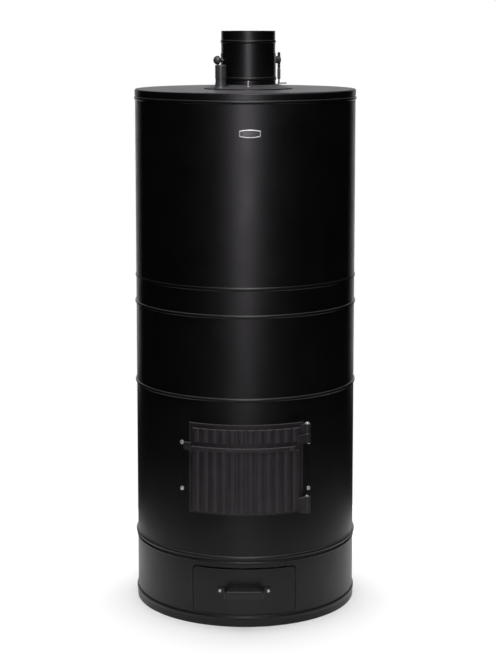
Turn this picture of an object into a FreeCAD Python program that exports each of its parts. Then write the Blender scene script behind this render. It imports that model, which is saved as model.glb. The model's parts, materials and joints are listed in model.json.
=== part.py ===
import FreeCAD, Part
import math
import os
import re

import Sketcher
from FreeCAD import Placement, Rotation, Vector

# Round masonry heater clad in sheet steel: a drum of stacked jackets around a
# brick lining, with a ribbed cast fire door, an ash drawer and a top flue.
# All lengths are millimetres, angles are degrees. The stove stands on z = 0,
# its axis is Z and the door faces -Y.

SIZES = {
    # drum and jackets
    "drum_radius": 300,
    "sheet": 1.5,
    "slip_sheet": 1.3,
    "slip_play": 0.1,
    "slip_rise": 13,
    "trim_gap": 0.15,
    "spare": 20,
    "bead_half": 5,
    "joint_bead_rise": 4.6,
    "middle_bead_rise": 3.6,
    "band_bead_rise": 3.3,
    "upper_bead_rise": 2,
    "top_bead_rise": 2.8,
    "foot_height": 30,
    "foot_rise": 1.3,
    "foot_bead": 12.4,
    "foot_bead_rise": 2.2,
    "base_sheet": 4,
    "base_play": 0.5,
    "plinth_top": 176.5,
    "plinth_bead": 6,
    "plinth_bead_rise": 2,
    "lower_start": "=plinth_top + 5.5",
    "middle_start": "=frame_high + 60",
    "middle_rise": 220,
    "band_start": "=middle_start + middle_rise",
    "band_rise": 72,
    "upper_start": "=band_start + band_rise",
    "upper_bead": "=body_height - 24",
    "upper_end": "=body_height - 18",
    "body_height": 1410,
    "lid_rim": 16,
    "lid_radius": "=drum_radius + 1.2",
    "lid_sheet": 2,
    "lid_round": 4,
    # lining
    "lining_gap": 4,
    "mortar": 2,
    "apothem_low": "=drum_radius - 84",
    "apothem_mid": "=drum_radius - 70",
    "apothem_top": "=drum_radius - 56",
    "plinth_brick_top": "=plinth_top - 16.5",
    "deck_sheet": 6,
    "hearth_level": "=frame_low - 5",
    "door_course_top": "=frame_high + 14",
    "course_3_rise": 200,
    "firebox_top": "=door_course_top + course_3_rise",
    "course_4_rise": 200,
    "mid_joint": "=firebox_top + course_4_rise",
    "course_5_rise": 190,
    "mid_top": "=mid_joint + course_5_rise",
    "cap_start": "=body_height - 65",
    "cap_top": "=body_height - lid_sheet - 0.4",
    "cap_hole": "=collar_radius + 17",
    "baffle_thick": 50,
    "baffle_gap": 110,
    "baffle_play": 2,
    "shaft_half": 80,
    "shaft_margin": 11.3583,
    "shaft_front": "=(apothem_low - mortar) * tan(22.5) + shaft_margin",
    "shaft_back": 40,
    "grate_lap": 15,
    "grate_thick": 12,
    "grate_slot": 12,
    "grate_bar": 10,
    "grate_edge": 10,
    # fire door and its frame
    "door_offset": 2,
    "frame_half": 150,
    "frame_low": 305,
    "frame_high": 546,
    "frame_back": 0.6,
    "frame_face": 4,
    "frame_lip": 7,
    "lip_width": 4.5,
    "throat_half": "=frame_half - 22",
    "throat_low": "=frame_low + 17",
    "throat_high": "=frame_high - 18",
    "throat_wall": 4,
    "throat_back": "=apothem_low + 12",
    "throat_play": 0.2,
    "tunnel_play": 4,
    "door_half": "=frame_half - 9",
    "door_low": "=frame_low + 8",
    "door_high": "=frame_high - 11.4",
    "door_back": 9,
    "door_plate": 4,
    "rib_rise": 9,
    "rib_shoulder": 2.5,
    "rib_groove": 6,
    "rib_count": 12,
    "rib_root": 1,
    "channel_low": "=frame_high - 71",
    "channel_high": "=channel_low + 24",
    "liner_half": "=throat_half - 8",
    "liner_low": "=throat_low + 8",
    "liner_high": "=throat_high - 8",
    "liner_sheet": 3,
    "spacer_half": 5,
    "spacer_x": "=liner_half - 30",
    "spacer_z": "=(liner_high - liner_low) / 2 - 20",
    "seal_inset": 3,
    "seal_width": 9,
    "seal_gap": 0.6,
    # hinge
    "hinge_x": "=door_offset + frame_half + 11",
    "hinge_y": "=-sqrt((drum_radius + hinge_stand) ^ 2 - hinge_x ^ 2)",
    "hinge_stand": 11.1173,
    "knuckle_radius": 9.2,
    "pin_radius": 4,
    "running_play": 0.06,
    "pin_head_radius": 6.5,
    "pin_head": 6,
    "pin_end": 1,
    "top_knuckle_low": "=frame_high - 28.5",
    "top_knuckle_high": "=frame_high - 5",
    "door_top_knuckle_low": "=top_knuckle_low - 26.5",
    "door_top_knuckle_high": "=top_knuckle_low - 3",
    "low_knuckle_low": "=frame_low - 4",
    "low_knuckle_high": "=low_knuckle_low + 22.6",
    "door_low_knuckle_high": "=low_knuckle_low + 44",
    "low_pin_top": "=door_low_knuckle_high + 5",
    "knuckle_gap": 0.4,
    "arm_long": 18,
    "arm_end": 3,
    "arm_thin": 3.5,
    "arm_thick": 8,
    "door_arm": 6,
    "door_arm_reach": 9,
    "door_arm_side": 5,
    # latch
    "latch_back": 14,
    "latch_thick": 7,
    "latch_low": "=channel_low + 1",
    "latch_bar_high": "=latch_low + 11",
    "latch_tongue_high": "=latch_low + 19.6",
    "latch_left": "=door_offset - frame_half - 14.5",
    "tongue_edge": "=latch_left + 20.5",
    "latch_right": "=door_offset + door_half - 11",
    "latch_pivot_x": "=latch_right - 10",
    "latch_pivot_z": "=latch_low + 5.5",
    "latch_pin_radius": 3,
    "latch_head_radius": 5,
    "latch_head": 2.5,
    "latch_play": 0.4,
    "keeper_width": 8,
    "keeper_height": 8,
    "keeper_play": 0.5,
    # frame screws
    "screw_stand": 16.887,
    "screw_angle": "=asin((frame_half + screw_stand) / drum_radius)",
    "screw_high": "=frame_high - 57",
    "screw_low": "=frame_low + 59",
    "screw_head_radius": 5.8,
    "screw_head": 3.4,
    "screw_shank_radius": 2.5,
    "screw_depth": 3,
    "screw_play": 0.1,
    # ash drawer
    "drawer_offset": -3,
    "drawer_half": 135,
    "drawer_low": 34,
    "drawer_high": "=plinth_top - 20.5",
    "drawer_round": 10,
    "drawer_gap": 1.5,
    "drawer_gap_top": 4.5,
    "drawer_proud": 1,
    "drawer_plate": 3.5,
    "tray_half": "=drawer_half - 20",
    "tray_low": 36,
    "tray_high": 120,
    "tray_sheet": 1.5,
    "tray_back": 60,
    "tray_play": 0.4,
    "rail_width": 8,
    "rail_inset": 12,
    "rail_clear": 11.616,
    "rail_front": "=sqrt((drum_radius - rail_clear) ^ 2 - (tray_half + guide_play + guide_width) ^ 2)",
    "guide_width": 4,
    "guide_height": 52,
    "guide_play": 1.5,
    "plinth_brick_flat": "=drawer_half + 11",
    "plinth_back_flat": "=tray_back + 10",
    # drawer handle
    "handle_low": 88.5,
    "handle_high": 108.5,
    "handle_centres": 128,
    "handle_strip": 3,
    "handle_reach": 38,
    "handle_grip_half": 53,
    "handle_foot_half": 71,
    "handle_corner": 6,
    "handle_screw_radius": 2,
    "handle_screw_long": 12,
    "handle_head_radius": 4,
    "handle_head": 2.4,
    # flue
    "flue_offset": 8,
    "collar_radius": 75,
    "collar_low": "=body_height - 18",
    "collar_high": "=body_height + 95",
    "flue_sheet": 1.2,
    "spigot_radius": "=collar_radius - 1.6",
    "spigot_low": "=body_height + 42",
    "spigot_high": "=body_height + 156",
    "spigot_bead": "=body_height + 127",
    "collar_bead": "=body_height + 28",
    "flue_bead_half": 4.5,
    "flue_bead_rise": 2,
    "flue_hole_play": 1,
    "rosette_outer": "=collar_radius + 45.6",
    "rosette_inner": "=collar_radius + 9",
    "rosette_edge": 2.5,
    "rosette_sheet": 2,
    "rosette_foot": 6,
    "rosette_top": "=body_height + 12",
    "stud_reach": "=collar_radius + 35",
    "stud_radius": 2.6,
    "stud_top": "=body_height + 25",
    "nut_radius": 4,
    "nut_low": 3.2,
    "nut_height": 3.4,
    # capped port on the rosette
    "port_turn": 41.7295,
    "port_reach": "=collar_radius + 24.1564",
    "port_x": "=flue_offset - port_reach * cos(port_turn * 1deg)",
    "port_y": "=-port_reach * sin(port_turn * 1deg)",
    "port_radius": 14,
    "port_bore": 11.5,
    "port_flare": 18.5,
    "port_flare_low": 3,
    "port_flare_round": 70,
    "port_play": 0.2,
    "port_high": "=body_height + 32",
    "cap_radius": 15,
    "cap_high": "=port_high + 34",
    "cap_plug": 11,
    "cap_plug_depth": 12,
    "cap_groove": 0.8,
    "cap_round": 2.5,
    "cap_ring_count": 5,
    "cap_ring_first": 6,
    "cap_ring_pitch": 5,
    "cap_ring_width": 1.6,
    # damper
    "damper_z": "=body_height + 77.5",
    "shaft_turn": 23,
    "shaft_radius": 4,
    "plate_radius": "=collar_radius - 5",
    "plate_thick": 2,
    "plate_screw_x": "=plate_radius - 35",
    "plate_screw_radius": 2,
    "plate_screw_head_radius": 4,
    "plate_screw_head": 2,
    "knob_near": "=collar_radius + 2",
    "knob_back": "=knob_near + 9",
    "knob_end": "=knob_near + 24.5",
    "knob_depth": 8,
    "knob_radius": 12,
    "knob_neck": 7,
    "knob_edge": 1.5,
    "lever_reach": "=collar_radius + 16.3",
    "lever_thick": 4,
    "lever_width": 10,
    "lever_round": 4.5,
    "lever_high": "=damper_z + 20.5",
    "lever_low": "=damper_z - 23.5",
    "lever_rod_radius": 2.2,
    "lever_rod_low": "=body_height + 11.8",
    "lever_tab": "=lever_reach + 21.5",
    "lever_tab_half": 4,
    "lever_tab_thick": 3,
    "hub_radius": 10,
    "hub_start": "=collar_radius + 1",
    "shaft_end": 2,
    "grip_radius": 4.6,
    "grip_low": "=lever_rod_low + 13.2",
    "grip_play": 0.1,
    # badge
    "badge_x": 12,
    "badge_z": "=body_height - 104",
    "badge_half": 28,
    "badge_tall": 8,
    "badge_bow": 3,
    "badge_rise": 3,
    "badge_edge": 3.2,
    "badge_field": 1.6,
}

WORD = re.compile(r"[a-z_][a-z_0-9]*")
FRONT = Rotation(Vector(1, 0, 0), 90)
SIDE = Rotation(Vector(0, 1, 0), 90)
UP = Vector(0, 0, 1)

doc = FreeCAD.newDocument("heater")
sheet = doc.addObject("Spreadsheet::Sheet", "Sizes")
for row, (word, size) in enumerate(SIZES.items(), 1):
    sheet.set(f"A{row}", word)
    sheet.set(f"B{row}", str(size))
    sheet.setAlias(f"B{row}", word)
doc.recompute()

nodes = []


# ---- helpers -------------------------------------------------------------
def bind(size):
    """Turn a size, a number or words of the sheet, into a sheet expression."""
    def name(found):
        word = found.group(0)
        return "Sizes." + word if word in SIZES else word
    return WORD.sub(name, str(size))


def value(size):
    """Give the number that a size has now."""
    result = sheet.evalExpression(bind(size))
    return float(getattr(result, "Value", result))


def place(thing, x=0, y=0, z=0, rotation=None):
    """Place an object at sizes taken from the sheet."""
    spot = Vector(value(x), value(y), value(z))
    thing.Placement = Placement(spot, rotation or Rotation())
    for axis, size in (("x", x), ("y", y), ("z", z)):
        thing.setExpression(f"Placement.Base.{axis}", bind(size))
    return thing


def new_body(label, x="0", y="0", z="0", rotation=None):
    """Start one sub-part."""
    body = doc.addObject("PartDesign::Body", label)
    body.Label = label
    body.AllowCompound = True
    nodes.append(place(body, x, y, z, rotation))
    return body


def new_sketch(body, role, lift=0, turn=0):
    """Start a sketch on one of the body's own planes, lifted and turned."""
    plane = next(o for o in body.Origin.OriginFeatures if o.Role == role)
    sketch = body.newObject("Sketcher::SketchObject", body.Name + "_sketch")
    sketch.AttachmentSupport = [(plane, "")]
    sketch.MapMode = "FlatFace"
    spin = Rotation(Vector(0, 0, 1), value(turn))
    sketch.AttachmentOffset = Placement(Vector(0, 0, value(lift)), spin)
    sketch.setExpression("AttachmentOffset.Base.z", bind(lift))
    if turn != 0:
        sketch.setExpression("AttachmentOffset.Rotation.Angle", bind(turn))
    return sketch


def arc_middle(start, end, radius, side):
    """Give the middle of the short arc of that radius, bulging to one side."""
    chord = end - start
    normal = Vector(-chord.y, chord.x, 0).normalize() * side
    depth = radius - math.sqrt(radius ** 2 - chord.Length ** 2 / 4)
    return (start + end) * 0.5 + normal * depth


def fix(sketch, kind, where, size):
    """Add one constraint and bind it to the sheet."""
    index = sketch.addConstraint(Sketcher.Constraint(kind, *where, value(size)))
    sketch.setExpression(f"Constraints[{index}]", bind(size))


def loop(sketch, points, arcs=None):
    """Draw a closed outline; arcs maps a side's number to (radius, side)."""
    arcs = arcs or {}
    spots = [Vector(value(x), value(y), 0) for x, y in points]
    lines = []
    for i, start in enumerate(spots):
        end = spots[(i + 1) % len(spots)]
        if i not in arcs:
            edge = Part.LineSegment(start, end)
            lines.append((sketch.addGeometry(edge, False), 1, 2))
            continue
        radius, side = arcs[i]
        middle = arc_middle(start, end, value(radius), side)
        first, last = (start, end) if side < 0 else (end, start)
        edge = sketch.addGeometry(Part.Arc(first, middle, last), False)
        lines.append((edge, 1, 2) if side < 0 else (edge, 2, 1))
    for i, (edge, _, last) in enumerate(lines):
        after, first, _ = lines[(i + 1) % len(lines)]
        sketch.addConstraint(Sketcher.Constraint("Coincident", edge, last, after, first))
    for i, (x, y) in enumerate(points):
        edge, first, _ = lines[i]
        fix(sketch, "DistanceX", (-1, 1, edge, first), x)
        fix(sketch, "DistanceY", (-1, 1, edge, first), y)
        if i in arcs:
            fix(sketch, "Radius", (edge,), arcs[i][0])
    return sketch


def circle(sketch, x, y, radius):
    """Draw a circle."""
    centre = Vector(value(x), value(y), 0)
    shape = Part.Circle(centre, Vector(0, 0, 1), value(radius))
    edge = sketch.addGeometry(shape, False)
    fix(sketch, "DistanceX", (-1, 1, edge, 3), x)
    fix(sketch, "DistanceY", (-1, 1, edge, 3), y)
    fix(sketch, "Radius", (edge,), radius)
    return sketch


def box_points(x0, x1, y0, y1):
    """Give the corners of a rectangle."""
    return [(x0, y0), (x1, y0), (x1, y1), (x0, y1)]


def rounded(sketch, x0, x1, y0, y1, radius):
    """Draw a rectangle with rounded corners."""
    points = [
        (f"{x0} + {radius}", y0), (f"{x1} - {radius}", y0), (x1, f"{y0} + {radius}"),
        (x1, f"{y1} - {radius}"), (f"{x1} - {radius}", y1), (f"{x0} + {radius}", y1),
        (x0, f"{y1} - {radius}"), (x0, f"{y0} + {radius}"),
    ]
    return loop(sketch, points, {side: (radius, -1) for side in (1, 3, 5, 7)})


def feature(body, kind, sketch):
    """Add a feature made from one sketch."""
    made = body.newObject("PartDesign::" + kind, body.Name + "_" + kind.lower())
    made.Profile = sketch
    sketch.Visibility = False
    return made


def pad(body, sketch, length, reverse=False):
    """Raise a sketch."""
    made = feature(body, "Pad", sketch)
    made.Length = value(length)
    made.setExpression("Length", bind(length))
    made.Reversed = reverse
    return made


def pocket(body, sketch, length, reverse=False):
    """Cut with a sketch, and make sure that something was cut."""
    doc.recompute()
    before = body.Shape.Volume
    made = feature(body, "Pocket", sketch)
    made.Length = value(length)
    made.setExpression("Length", bind(length))
    made.Reversed = reverse
    doc.recompute()
    if body.Shape.Volume > before - 1:
        raise RuntimeError(body.Label + ": a pocket cut nothing")
    return made


def spin(body, sketch, kind="Revolution"):
    """Turn a sketch about its own upright axis."""
    made = feature(body, kind, sketch)
    made.ReferenceAxis = (sketch, ["V_Axis"])
    made.Angle = 360
    return made


def ring(body, points, arcs=None, kind="Revolution"):
    """Turn a profile of radius and height about the body's Z axis."""
    sketch = loop(new_sketch(body, "XZ_Plane"), points, arcs)
    return spin(body, sketch, kind)


def around(body, made, count, angle):
    """Repeat a feature about the body's Z axis."""
    pattern = body.newObject("PartDesign::PolarPattern", body.Name + "_pattern")
    pattern.Originals = [made]
    upright = next(o for o in body.Origin.OriginFeatures if o.Role == "Z_Axis")
    pattern.Axis = (upright, [""])
    pattern.Angle = value(angle)
    pattern.setExpression("Angle", bind(angle))
    pattern.Occurrences = int(value(count))
    pattern.setExpression("Occurrences", bind(count))
    body.Tip = pattern
    return pattern


def drill(body, x, y, z, rotation, radius, length, kind="Subtractive"):
    """Cut or add a round bar that starts at a point and runs one way."""
    made = body.newObject(f"PartDesign::{kind}Cylinder", body.Name + "_" + kind.lower())
    place(made, x, y, z, rotation)
    for prop, size in (("Radius", radius), ("Height", length)):
        setattr(made, prop, value(size))
        made.setExpression(prop, bind(size))
    return made


def block(body, x0, x1, y0, y1, z0, z1):
    """Add a rectangular bar between six planes."""
    sketch = loop(new_sketch(body, "XY_Plane", z0), box_points(x0, x1, y0, y1))
    return pad(body, sketch, f"{z1} - ({z0})")


def band(body, inner, outer, low, high):
    """Keep only what lies between two radii about the drum axis."""
    core = box_points("0", inner, f"{low} - spare", f"{high} + spare")
    ring(body, core, kind="Groove")
    shell = box_points(outer, f"{outer} + 3 * spare", f"{low} - spare", f"{high} + spare")
    ring(body, shell, kind="Groove")


def front_y(radius, x):
    """Give y on the front of a cylinder about the drum axis."""
    return f"-sqrt(({radius}) * ({radius}) - ({x}) * ({x}))"


def curved_bar(body, x0, x1, inner, outer, low, high):
    """Add a bar bent about the drum axis, with ends square to X."""
    points = [
        (x0, front_y(outer, x0)), (x1, front_y(outer, x1)),
        (x1, front_y(inner, x1)), (x0, front_y(inner, x0)),
    ]
    arcs = {0: (outer, -1), 2: (inner, 1)}
    sketch = loop(new_sketch(body, "XY_Plane", low), points, arcs)
    return pad(body, sketch, f"{high} - ({low})")


# ---- drum ----------------------------------------------------------------
def crown(half, rise):
    """Radius of a bulge of that half height and rise."""
    return f"(({half}) * ({half}) + ({rise}) * ({rise})) / (2 * ({rise}))"


def base_plate():
    """Floor disc that carries everything."""
    body = new_body("base_plate")
    ring(body, box_points("0", "drum_radius - sheet - base_play", "0", "base_sheet"))


def foot_ring():
    """Skirting ring with a bead along its top."""
    body = new_body("foot_ring")
    outer = "drum_radius + foot_rise"
    inner = "drum_radius - sheet"
    points = [
        (inner, "0"), (outer, "0"), (outer, "foot_height - foot_bead"),
        (outer, "foot_height"), (inner, "foot_height"),
    ]
    ring(body, points, {2: (crown("foot_bead / 2", "foot_bead_rise"), -1)})


def slip_collar(joint, low):
    """Profile of the reduced collar that slips inside the next sheet piece."""
    outer = "drum_radius - sheet - slip_play"
    inner = f"{outer} - slip_sheet"
    high = f"{joint} + slip_rise"
    return [(outer, joint), (outer, high), (inner, high), (inner, low), ("drum_radius - sheet", low)]


def jacket(label, start, end, rise):
    """Sheet tube whose lower edge is a wired bead."""
    body = new_body(label)
    inner = "drum_radius - sheet"
    outer = "drum_radius"
    bead_top = f"{start} + 2 * bead_half"
    points = [(inner, start), (outer, start), (outer, bead_top), (outer, end), (inner, end)]
    ring(body, points, {1: (crown("bead_half", rise), -1)})
    return body


def upper_jacket():
    """Tallest jacket: a wired bead at each end and a collar inside the lid."""
    body = new_body("upper_jacket")
    outer = "drum_radius"
    points = [
        ("drum_radius - sheet", "upper_start"), (outer, "upper_start"),
        (outer, "upper_start + 2 * bead_half"), (outer, "upper_bead - bead_half"),
        (outer, "upper_bead + bead_half"), (outer, "upper_end"),
    ]
    arcs = {
        1: (crown("bead_half", "upper_bead_rise"), -1),
        3: (crown("bead_half", "top_bead_rise"), -1),
    }
    ring(body, points + slip_collar("upper_end", "upper_bead"), arcs)


def plinth_jacket():
    """Plinth skin: a wired upper edge, a collar above it and the drawer's opening."""
    body = new_body("plinth_jacket")
    outer = "drum_radius"
    low = "plinth_top - plinth_bead"
    points = [
        ("drum_radius - sheet", "foot_height"), (outer, "foot_height"), (outer, low), (outer, "plinth_top"),
    ]
    arcs = {2: (crown("plinth_bead / 2", "plinth_bead_rise"), -1)}
    ring(body, points + slip_collar("plinth_top", low), arcs)
    reach = "(drawer_half + drawer_gap)"
    sketch = rounded(
        new_sketch(body, "XZ_Plane"), f"drawer_offset - {reach}", f"drawer_offset + {reach}",
        "drawer_low - drawer_gap", "drawer_high + drawer_gap_top", "(drawer_round + drawer_gap)")
    pocket(body, sketch, "drum_radius + spare", True)


def screw_spots(radius):
    """Four places around the fire door, each with its way in."""
    spots = []
    for side in (-1, 1):
        x = f"{side} * ({radius}) * sin(screw_angle)"
        y = f"-({radius}) * cos(screw_angle)"
        turn = side * value("screw_angle")
        inward = Rotation(Vector(0, 0, 1), turn).multiply(Rotation(Vector(1, 0, 0), -90))
        spots += [(x, y, height, inward) for height in ("screw_high", "screw_low")]
    return spots


def lower_jacket():
    """Drum skin around the fire door, with its opening and screw holes."""
    body = jacket("lower_jacket", "lower_start", "middle_start", "joint_bead_rise")
    reach = "(throat_half + tunnel_play)"
    points = box_points(
        f"door_offset - {reach}", f"door_offset + {reach}",
        "throat_low - tunnel_play", "throat_high + tunnel_play")
    pocket(body, loop(new_sketch(body, "XZ_Plane"), points), "drum_radius + spare", True)
    for x, y, z, inward in screw_spots("drum_radius + spare / 2"):
        drill(body, x, y, z, inward, "screw_shank_radius + screw_play", "spare")


def frame_screws():
    """Four pan screws in the skin beside the fire door."""
    body = new_body("frame_screws")
    seat = "drum_radius + trim_gap"
    for x, y, z, inward in screw_spots(f"{seat} + screw_head"):
        drill(body, x, y, z, inward, "screw_head_radius", "screw_head", "Additive")
        drill(body, x, y, z, inward, "screw_shank_radius", "screw_head + screw_depth", "Additive")


def lid():
    """Dished sheet lid with a rounded rim and the holes for flue and port."""
    body = new_body("lid")
    rim_low = "body_height - lid_rim"
    under = "body_height - lid_sheet"
    points = [
        ("0", under), ("lid_radius - lid_sheet", under), ("lid_radius - lid_sheet", rim_low),
        ("lid_radius", rim_low), ("lid_radius", "body_height - lid_round"),
        ("lid_radius - lid_round", "body_height"), ("0", "body_height"),
    ]
    ring(body, points, {4: ("lid_round", -1)})
    hole = "collar_radius + flue_hole_play"
    drill(body, "flue_offset", "0", "body_height - spare / 2", Rotation(), hole, "spare")
    drill(body, "port_x", "port_y", "body_height - spare / 2", Rotation(), "port_bore", "spare")


# ---- lining --------------------------------------------------------------
def course(label, low, high, apothem):
    """One course of eight bricks, round outside and flat inside."""
    body = new_body(label)
    outer = "(drum_radius - lining_gap)"
    reach = f"sqrt({outer} * {outer} - mortar * mortar / 4)"
    x_out = f"({reach} * sin(22.5) - mortar / 2 * cos(22.5))"
    y_out = f"-({reach} * cos(22.5) + mortar / 2 * sin(22.5))"
    x_in = f"({apothem} * tan(22.5) - mortar / 2 / cos(22.5))"
    points = [
        (f"-{x_out}", y_out), (x_out, y_out), (x_in, f"-{apothem}"), (f"-{x_in}", f"-{apothem}"),
    ]
    sketch = loop(new_sketch(body, "XY_Plane", low), points, {0: (outer, -1)})
    around(body, pad(body, sketch, f"{high} - ({low})"), "8", "360")
    return body


def door_course():
    """Lining course that is left open for the door's tunnel."""
    body = course("lining_course_2", "hearth_level", "door_course_top", "apothem_low")
    reach = "(throat_half + tunnel_play)"
    points = box_points(
        f"door_offset - {reach}", f"door_offset + {reach}", "-drum_radius", "-apothem_low / 2")
    sketch = loop(new_sketch(body, "XY_Plane", "door_course_top"), points)
    pocket(body, sketch, "door_course_top - hearth_level")


def slab(body, low, high, points, arcs=None):
    """Raise a plan outline between two heights."""
    sketch = loop(new_sketch(body, "XY_Plane", low), points, arcs)
    return pad(body, sketch, f"{high} - ({low})")


def disc_x(y):
    """Half width of the lining's disc at y."""
    return f"sqrt((drum_radius - lining_gap) * (drum_radius - lining_gap) - ({y}) * ({y}))"


def plinth_bricks():
    """Two side blocks and a back block around the ash drawer."""
    body = new_body("plinth_bricks")
    outer = "(drum_radius - lining_gap)"
    flat = "plinth_brick_flat"
    far = disc_x(flat)
    wide = f"({flat} - mortar)"
    deep = disc_x(wide)
    back = "plinth_back_flat"
    low, high = "base_sheet", "plinth_brick_top"
    slab(body, low, high, [(flat, f"-{far}"), (flat, far)], {0: (outer, -1)})
    slab(body, low, high, [(f"-{flat}", far), (f"-{flat}", f"-{far}")], {0: (outer, -1)})
    points = [(f"-{wide}", back), (wide, back), (wide, deep), (f"-{wide}", deep)]
    slab(body, low, high, points, {2: (outer, -1)})


def deck_plates():
    """Four steel plates over the plinth, set round the ash shaft."""
    body = new_body("deck_plates")
    outer = "(drum_radius - lining_gap)"
    low, high = "plinth_brick_top", "plinth_brick_top + deck_sheet"
    front, back = "(shaft_front + mortar / 2)", "(shaft_back + mortar / 2)"
    points = [(f"-{disc_x(front)}", f"-{front}"), (disc_x(front), f"-{front}")]
    slab(body, low, high, points, {0: (outer, -1)})
    points = [(disc_x(back), back), (f"-{disc_x(back)}", back)]
    slab(body, low, high, points, {0: (outer, -1)})
    front, back = "(shaft_front - mortar / 2)", "(shaft_back - mortar / 2)"
    side = "shaft_half"
    right = [(side, f"-{front}"), (disc_x(front), f"-{front}"), (disc_x(back), back), (side, back)]
    slab(body, low, high, right, {1: (outer, -1)})
    left = [
        (f"-{side}", back), (f"-{disc_x(back)}", back),
        (f"-{disc_x(front)}", f"-{front}"), (f"-{side}", f"-{front}"),
    ]
    slab(body, low, high, left, {1: (outer, -1)})


def hearth_bricks():
    """Four blocks that fill the lowest course round the ash shaft."""
    body = new_body("hearth_bricks")
    low, high = "plinth_brick_top + deck_sheet", "hearth_level"
    wide = "(apothem_low - mortar)"
    flat = f"({wide} * tan(22.5))"
    side = "shaft_half"
    cut = "(shaft_front + mortar / 2)"
    slant = f"({wide} + {flat} - {cut})"
    slab(body, low, high, [
        (f"-{flat}", f"-{wide}"), (flat, f"-{wide}"), (slant, f"-{cut}"), (f"-{slant}", f"-{cut}")])
    cut = "(shaft_back + mortar / 2)"
    slab(body, low, high, [
        (wide, cut), (wide, flat), (flat, wide), (f"-{flat}", wide), (f"-{wide}", flat), (f"-{wide}", cut)])
    front, back = "(shaft_front - mortar / 2)", "(shaft_back - mortar / 2)"
    slant = f"({wide} + {flat} - {front})"
    slab(body, low, high, [
        (side, f"-{front}"), (slant, f"-{front}"), (wide, f"-{flat}"), (wide, back), (side, back)])
    slab(body, low, high, [
        (f"-{side}", back), (f"-{wide}", back), (f"-{wide}", f"-{flat}"), (f"-{slant}", f"-{front}"),
        (f"-{side}", f"-{front}")])


def baffle(label, low, apothem, gap_side):
    """Slab across the drum that leaves a gap on one side for the smoke."""
    body = new_body(label)
    wide = f"({apothem} - baffle_play)"
    flat = f"({wide} * tan(22.5))"
    cut = f"({wide} - baffle_gap)"
    slant = f"({wide} + {flat} - {cut})"
    points = [
        (f"-{flat}", f"-{wide}"), (flat, f"-{wide}"), (wide, f"-{flat}"), (wide, flat),
        (slant, cut), (f"-{slant}", cut), (f"-{wide}", flat), (f"-{wide}", f"-{flat}"),
    ]
    if gap_side == "front":
        points = [(x, f"-({y})") for x, y in reversed(points)]
    slab(body, low, f"{low} + baffle_thick", points)


def grate():
    """Slotted cast grate over the ash shaft."""
    body = new_body("grate")
    half = "(shaft_half + grate_lap)"
    block(body, f"-{half}", half, "-(shaft_front + grate_lap)", "shaft_back + grate_lap",
          "hearth_level", "hearth_level + grate_thick")
    sketch = new_sketch(body, "XY_Plane", "hearth_level + grate_thick")
    count = int(value("2 * shaft_half / (grate_slot + grate_bar)"))
    for i in range(count):
        middle = f"({i} - ({count} - 1) / 2) * (grate_slot + grate_bar)"
        loop(sketch, box_points(
            f"{middle} - grate_slot / 2", f"{middle} + grate_slot / 2",
            "-shaft_front + grate_edge", "shaft_back - grate_edge"))
    pocket(body, sketch, "grate_thick")


# ---- fire door -----------------------------------------------------------
FRAME_LEFT = "(door_offset - frame_half)"
FRAME_RIGHT = "(door_offset + frame_half)"
FRAME_BACK = "(drum_radius + frame_back)"
FRAME_FACE = "(drum_radius + frame_face)"
DOOR_LEFT = "(door_offset - door_half)"
DOOR_RIGHT = "(door_offset + door_half)"
DOOR_BACK = "(drum_radius + door_back)"
DOOR_FACE = "(drum_radius + door_back + door_plate)"
RIB_TOP = "(drum_radius + door_back + rib_rise)"
PIN_BORE = "pin_radius + running_play"


def knuckle(body, low, high, arm):
    """Hinge eye with the arm that joins it to its casting."""
    sketch = circle(new_sketch(body, "XY_Plane", low), "hinge_x", "hinge_y", "knuckle_radius")
    pad(body, sketch, f"{high} - ({low})")
    slab(body, low, high, arm)


def door_frame():
    """Cast frame bent to the drum, with a raised lip and two hinge eyes."""
    body = new_body("door_frame")
    curved_bar(body, FRAME_LEFT, FRAME_RIGHT, FRAME_BACK, FRAME_FACE, "frame_low", "frame_high")
    lip = "(drum_radius + frame_lip)"
    for x0, x1, low, high in (
            (FRAME_LEFT, FRAME_RIGHT, "frame_high - lip_width", "frame_high"),
            (FRAME_LEFT, FRAME_RIGHT, "frame_low", "frame_low + lip_width"),
            (FRAME_LEFT, f"{FRAME_LEFT} + lip_width", "frame_low", "frame_high"),
            (f"{FRAME_RIGHT} - lip_width", FRAME_RIGHT, "frame_low", "frame_high")):
        curved_bar(body, x0, x1, FRAME_BACK, lip, low, high)
    inside = "(throat_half - throat_wall)"
    points = box_points(
        f"door_offset - {inside}", f"door_offset + {inside}",
        "throat_low + throat_wall", "throat_high - throat_wall")
    pocket(body, loop(new_sketch(body, "XZ_Plane"), points), "drum_radius + spare", True)
    arm = [
        ("hinge_x - arm_long", "hinge_y - arm_thin"), ("hinge_x - arm_end", "hinge_y - arm_thick"),
        ("hinge_x - arm_end", "hinge_y + arm_thick"), ("hinge_x - arm_long", "hinge_y + arm_thin / 2"),
    ]
    knuckle(body, "top_knuckle_low", "top_knuckle_high", arm)
    knuckle(body, "low_knuckle_low", "low_knuckle_high", arm)
    drill(body, "hinge_x", "hinge_y", "low_knuckle_low - spare", Rotation(), PIN_BORE,
          "top_knuckle_high - low_knuckle_low + 2 * spare")


def hinge_pins():
    """Two pins: a headed one dropped in from above and one standing below."""
    body = new_body("hinge_pins")
    for radius, low, high in (
            ("pin_radius", "door_top_knuckle_low - pin_end", "top_knuckle_high + pin_head"),
            ("pin_head_radius", "top_knuckle_high", "top_knuckle_high + pin_head"),
            ("pin_radius", "low_knuckle_low", "low_pin_top")):
        sketch = circle(new_sketch(body, "XY_Plane", low), "hinge_x", "hinge_y", radius)
        pad(body, sketch, f"{high} - ({low})")


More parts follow.
